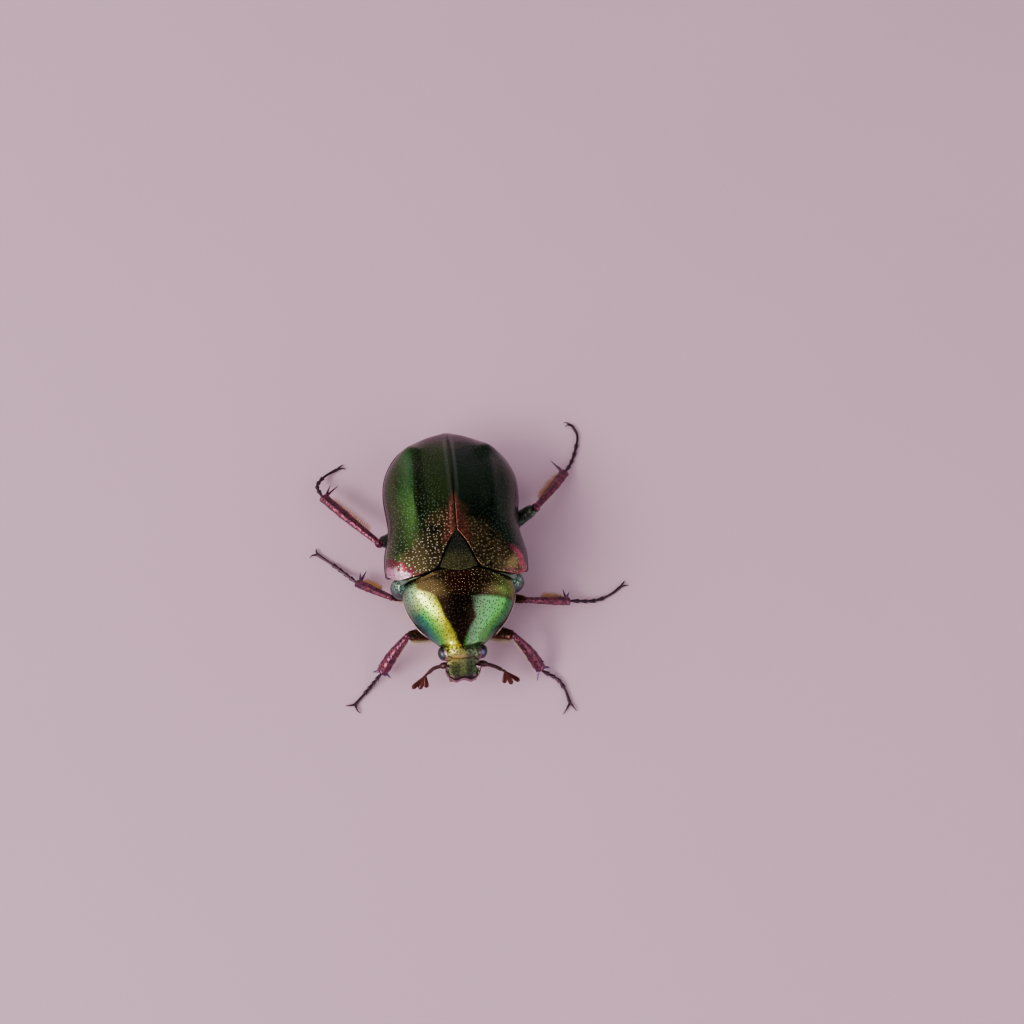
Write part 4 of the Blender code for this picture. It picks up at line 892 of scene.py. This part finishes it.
def foot_radius(share):
    at = 0.0
    for number, length in enumerate(TARSOMERES):
        if share <= at + length or number == 4:
            along = (share - at) / length
            if number == 4:
                return 0.125 + 0.04 * min(max(along, 0.0), 1.0) ** 2
            flare = 0.125 + 0.125 * along ** 1.5
            return flare if along < 0.93 else 0.115
        at += length


def spike(name, points, radius, sides=2):
    """A thin curved spine through three points."""
    route = smooth_path(points, 9)
    return tube(name, route, np.linspace(1, 0.12, 9) ** 0.8 * radius, sides=sides)


def build_thigh(name, leg, section, finish):
    route = smooth_path(leg["thigh"], THIGH_STEPS)
    stout = leg["thick"] * (FORE_THICKER if name.startswith("fore") else 1.0)
    radii = round_ends(even(THIGH_SWELL, THIGH_STEPS) * stout, 0.04, 0.1)
    dress(tube(f"thigh_{name}", route, radii, section), finish, "leg_shell", f"femur_{name}")
    return route


def build_shin(name, leg, section, finish):
    """A shin with its knee, its end spurs and, on a fore leg, the teeth of its outer edge."""
    route = smooth_path(leg["thigh"][-1:] + leg["shin"], SHIN_STEPS)
    ahead = unit(route[-1] - route[-4])
    ripple = 1 + 0.05 * np.sin(np.linspace(0, SHIN_STEPS, SHIN_STEPS)) * np.linspace(0.4, 1, SHIN_STEPS)
    radii = round_ends(even(SHIN_SWELL[name.split("_")[0]], SHIN_STEPS) * ripple, 0.1, 0.05)
    pieces = [tube("shin", route, radii, section),
              ball("knee", route[0], [leg["thick"] * 0.52] * 3, segments=16, rings=10)]
    for reach in leg["spurs"]:
        reach = np.array(reach)
        aside = unit(reach - (reach @ ahead) * ahead)
        root = route[-1] - 0.35 * ahead + 0.22 * aside
        tip = route[-1] + reach
        pieces.append(spike("spur", [root, (root + tip) / 2 + np.array((0, 0, 0.06)), tip], 0.15))
    if "outward" in leg:
        outward = np.array(leg["outward"])
        for at in (0.52, 0.72, 0.9):
            root = route[0] + (route[-1] - route[0]) * at
            tip = root + outward * (0.78 + 0.3 * at) + 0.34 * ahead
            pieces.append(spike("tooth", [root, root + 0.5 * (tip - root), tip], 0.24, 3))
    dress(joined(pieces, f"shin_{name}"), finish, "leg_shell", f"tibia_{name}")
    return route


def build_foot(name, leg, finish):
    """A foot of five segments, with two bristles at the end of each of the first four."""
    route = smooth_path(leg["shin"][-1:] + leg["foot"], FOOT_STEPS)
    route[:, 2] -= FOOT_SINK * np.clip((1.2 - route[:, 2]) / 0.6, 0, 1)
    radii = [foot_radius(s) for s in np.linspace(0, 1, FOOT_STEPS)]
    route[0] = route[0] - 0.12 * unit(route[6] - route[0])
    pieces = [tube("foot", route, radii)]
    at = 0.0
    for length in TARSOMERES[:4]:
        at += length
        i = int(at * (FOOT_STEPS - 1))
        way = unit(route[min(i + 3, FOOT_STEPS - 1)] - route[i - 3])
        aside = unit(np.cross(way, (0, 0, 1)))
        for sign in (-1, 1):
            root = route[i] - 0.1 * way + sign * 0.12 * aside
            tip = root + 0.26 * way + sign * 0.12 * aside - np.array((0, 0, 0.06))
            pieces.append(spike("bristle", [root, (root + tip) / 2, tip], 0.045))
    dress(joined(pieces, f"foot_{name}"), finish, "foot_shell", f"tarsus_{name}")
    return route


def build_claws(name, leg, foot, finish):
    way = unit(foot[-1] - foot[-4])
    hooks = [ball("claw_base", foot[-1] + 0.02 * way, (0.15, 0.15, 0.13), segments=12, rings=8)]
    for tip in leg["claws"]:
        root = foot[-1] + 0.05 * way
        reach = np.array(tip) - root
        aside = reach - (reach @ way) * way
        aside = unit(aside) if np.linalg.norm(aside) > 1e-3 else unit(np.cross(way, (0, 0, 1)))
        lift = np.array((0, 0, 0.1))
        bow = root + 0.62 * (reach @ way) * way + 0.75 * (reach @ aside) * aside + 0.14 * way + lift
        hooks.append(spike("hook", [root, bow, tip], 0.125))
    dress(joined(hooks, f"hooks_{name}"), finish, "foot_shell", f"claws_{name}")


def build_leg(name, leg, sections, finishes):
    """One leg. Gives back the routes of its thigh and shin."""
    oval, keeled = sections
    thigh = build_thigh(name, leg, oval, finishes["thigh_" + name.split("_")[0]])
    shin = build_shin(name, leg, keeled, finishes["shin"])
    foot = build_foot(name, leg, finishes["foot"])
    build_claws(name, leg, foot, finishes["foot"])
    return thigh, shin


def build_legs():
    """All six legs, and the routes of their thighs and shins for the hair."""
    turns = np.linspace(0, 2 * pi, 19)[:-1]
    oval = cross_section("thigh_section", [(cos(a), 0.72 * sin(a)) for a in turns])
    keeled = cross_section("shin_section", [(cos(a) * (1 + 0.1 * cos(4 * a)), 0.74 * sin(a) *
                                             (1 + 0.06 * cos(3 * a))) for a in turns])
    grey_green = leg_finish("thigh_grey", (0.05, 0.08, 0.064), (0.09, 0.1, 0.085), (0.1, 0.12, 0.12))
    copper = leg_finish("thigh_copper", (0.13, 0.04, 0.034), (0.09, 0.042, 0.03), (0.12, 0.12, 0.2))
    finishes = {
        "thigh_fore": copper, "thigh_mid": copper, "thigh_hind": grey_green,
        "shin": leg_finish("shin_pink", (0.25, 0.066, 0.1), (0.1, 0.034, 0.068), (0.11, 0.12, 0.33)),
        "foot": plain_finish("foot_dark", 0.8, (0.035, 0.012, 0.022), (0.095, 0.045, 0.075), 1.8, (0.24, 0.38)),
    }
    hip = leg_finish("hip_bronze", (0.05, 0.062, 0.04), (0.07, 0.042, 0.032), (0.05, 0.05, 0.06))
    routes = {}
    for name, leg in LEGS.items():
        dress(refined(f"coxa_{name}", f"hip_{name}", 2), hip, "underside", f"coxa_{name}")
        routes[name] = build_leg(name, leg, (oval, keeled), finishes)
    bpy.data.objects.remove(oval)
    bpy.data.objects.remove(keeled)
    return routes


# Hair: fringes of fine tapering tufts, joined into one piece for each colour

def tuft_shape():
    """One tuft, a slim cone of three sides that bends at two heights, from its root along +Z, one unit long."""
    bpy.ops.object.select_all(action="DESELECT")
    bpy.ops.mesh.primitive_cone_add(vertices=3, radius1=1.0, radius2=0.0, depth=1.0, location=(0, 0, 0.5))
    obj = bpy.context.object
    bpy.ops.object.transform_apply(location=True, rotation=True, scale=True)
    bpy.ops.object.mode_set(mode="EDIT")
    for height in (0.33, 0.66):
        bpy.ops.mesh.select_all(action="SELECT")
        bpy.ops.mesh.bisect(plane_co=(0, 0, height), plane_no=(0, 0, 1))
    bpy.ops.object.mode_set(mode="OBJECT")
    points = np.array([v.co[:] for v in obj.data.vertices])
    faces = [tuple(p.vertices) for p in obj.data.polygons]
    bpy.data.objects.remove(obj)
    return points, faces


def fringe(name, tufts, finish, slot):
    """One mesh of many tufts, each given by root, tip, sag, thickness and its place on the unwrap."""
    shape, sides = tuft_shape()
    points, faces, marks = [], [], []
    for root, tip, sag, thick, mark in tufts:
        way = np.array(tip) - np.array(root)
        across = unit(np.cross(way, (0.3, 0.2, 1.0)))
        over = unit(np.cross(way, across))
        start = len(points)
        for x, y, along in shape:
            spot = root + along * way + thick * (x * across + y * over) + sag * along * along
            points.append(place(spot))
            marks.append((mark[0] + 0.0012 * x, mark[1] + 0.0012 * y + 0.0006 * along))
        faces += [tuple(start + v for v in side) for side in sides]
    mesh = bpy.data.meshes.new(name)
    mesh.from_pydata(points, [], faces)
    unwrap = mesh.uv_layers.new(name="OFBake")
    for loop in mesh.loops:
        unwrap.data[loop.index].uv = marks[loop.vertex_index]
    obj = linked(name, mesh)
    select_only(obj)
    bpy.ops.object.shade_smooth()
    return dress(obj, finish, slot)


def edge_tufts(route, aside, first, last, count, length, offset, row):
    """Tufts along one side of a limb, combed outwards and towards the foot."""
    tufts = []
    aside = unit(aside)
    for k in range(count):
        share = first + (last - first) * (k + random.random()) / count
        i = min(int(share * (len(route) - 1)), len(route) - 2)
        ahead = unit(route[i + 1] - route[i])
        out = unit(aside - (aside @ ahead) * ahead)
        up = unit(np.cross(ahead, out))
        root = route[i] + offset * out + up * random.uniform(-0.16, 0.16)
        lean = random.uniform(0.15, 0.55)
        size = length * random.uniform(0.6, 1.05) * (0.45 + 0.55 * sin(pi * min(max(share, 0.05), 0.95)))
        way = unit(out + lean * ahead + up * random.uniform(-0.3, 0.3))
        tip = root + size * way
        tip[2] = max(tip[2], 0.05)
        mark = (0.03 + 0.94 * share, 0.04 + 0.07 * row + 0.05 * random.random())
        tufts.append((root, tip, 0.12 * size * ahead, 0.016, mark))
    return tufts


def build_hair(routes):
    golden = plain_finish("hair_golden", 0.0, (0.56, 0.4, 0.2), (0.72, 0.56, 0.32), 1.2, (0.45, 0.6))
    fulvous = plain_finish("hair_fulvous", 0.0, (0.5, 0.19, 0.05), (0.68, 0.32, 0.1), 1.2, (0.45, 0.6))
    pale, orange = [], []
    for row, (name, (thigh, shin)) in enumerate(routes.items()):
        pair = name.split("_")[0]
        inward = np.array(LEGS[name]["inward"])
        if pair == "fore":
            pale += edge_tufts(thigh, inward, 0.35, 0.95, 260, 0.75, 0.42, row)
            pale += edge_tufts(shin, inward, 0.1, 0.85, 220, 0.42, 0.3, row + 6)
        else:
            first, last = (0.22, 0.86) if pair == "hind" else (0.35, 0.85)
            orange += edge_tufts(shin, inward, first, last, 420, 1.05 if pair == "hind" else 0.85, 0.22, row)
            pale += edge_tufts(thigh, -inward, 0.3, 0.85, 160, 0.45, 0.38, row + 6)
    fringe("golden_hair", pale, golden, "leg_shell")
    fringe("fulvous_hair", orange, fulvous, "leg_shell")


# Floor, lights and camera

FLOOR_SIDE = 3.0  # metres


def build_stage():
    bpy.ops.object.select_all(action="DESELECT")
    bpy.ops.mesh.primitive_plane_add(size=FLOOR_SIDE, location=(0, 0, 0))
    floor = bpy.context.object
    floor.name = "floor"
    f = Finish("floor", 0.0, 0.6)
    tone = f.mix(f.noise(0.03), (0.82, 0.47, 0.64), (0.86, 0.51, 0.68))
    floor.data.materials.append(f.finish(tone, (0.55, 0.68)))


def soft_box(name, way, distance, size, power, colour):
    """A soft light in a direction from the beetle's middle, turned towards it."""
    aim = place((0.0, -1.0, 6.0))
    light = bpy.data.lights.new(name, "AREA")
    light.shape = "RECTANGLE"
    light.size, light.size_y = size
    light.energy = power
    light.color = colour
    obj = linked(name, light)
    obj.location = aim + Vector(way).normalized() * distance
    obj.rotation_euler = (aim - obj.location).to_track_quat("-Z", "Y").to_euler()


# Soft patches of the sky: direction, where each begins and is full (as cosines), and its colour
SKY_PATCHES = [
    ((-0.83, -0.22, 0.5), 0.66, 0.74, (1.5, 1.48, 1.4)),  # wide, on the beetle's right
    ((0.72, -0.52, 0.46), 0.8, 0.86, (1.3, 1.34, 1.34)),  # smaller, ahead on its left
    ((0.05, 0.8, 0.6), 0.88, 0.97, (0.45, 0.4, 0.41)),  # dim, behind it
]


def build_sky():
    """A sky that is dim above and brighter low down, with soft patches that the shell mirrors."""
    world = bpy.data.worlds.new("studio")
    bpy.context.scene.world = world
    world.use_nodes = True
    tree = world.node_tree
    way = add_node(tree, "ShaderNodeTexCoord").outputs["Generated"]
    height = add_node(tree, "ShaderNodeSeparateXYZ", Vector=way).outputs["Z"]
    band = add_node(tree, "ShaderNodeValToRGB", Fac=height)
    fill_ramp(band.color_ramp, [(0.0, (0.5, 0.46, 0.5)), (0.3, (0.36, 0.36, 0.39)), (0.6, (0.14, 0.14, 0.155)),
                                (0.8, (0.045, 0.045, 0.05)), (1.0, (0.03, 0.03, 0.035))])
    light = band.outputs["Color"]
    for towards, low, high, colour in SKY_PATCHES:
        near = add_node(tree, "ShaderNodeVectorMath", Vector=way)
        near.operation = "DOT_PRODUCT"
        near.inputs[1].default_value = Vector(towards).normalized()
        edge = add_node(tree, "ShaderNodeMapRange", Value=near.outputs["Value"], From_Min=low, From_Max=high)
        edge.interpolation_type = "SMOOTHSTEP"
        blend = tree.nodes.new("ShaderNodeMix")
        blend.data_type = "RGBA"
        share, first, second = [s for s in blend.inputs if s.enabled]
        tree.links.new(edge.outputs["Result"], share)
        tree.links.new(light, first)
        second.default_value = (*colour, 1.0)
        light = next(s for s in blend.outputs if s.enabled)
    tree.links.new(light, tree.nodes["Background"].inputs["Color"])


def build_lights():
    soft_box("left_box", (-0.73, -0.4, 0.58), 0.45, (0.32, 0.12), 1.4, (1.0, 0.99, 0.95))
    build_sky()


def build_camera():
    lens = bpy.data.cameras.new("view")
    lens.lens = CAMERA_LENS
    lens.sensor_width = 36.0
    lens.clip_start = 0.001
    lens.dof.use_dof = False
    camera = linked("view", lens)
    right = Vector(CAMERA_RIGHT).normalized()
    up = Vector(CAMERA_UP).normalized()
    turned = Matrix((right, up, right.cross(up))).transposed().to_4x4()
    camera.matrix_world = Matrix.Translation(place(CAMERA_PLACE)) @ turned
    bpy.context.scene.camera = camera


build_wing_cases()
build_pronotum()
build_scutellum()
build_underside()
build_head()
build_feelers()
build_hair(build_legs())
build_stage()
build_lights()
build_camera()
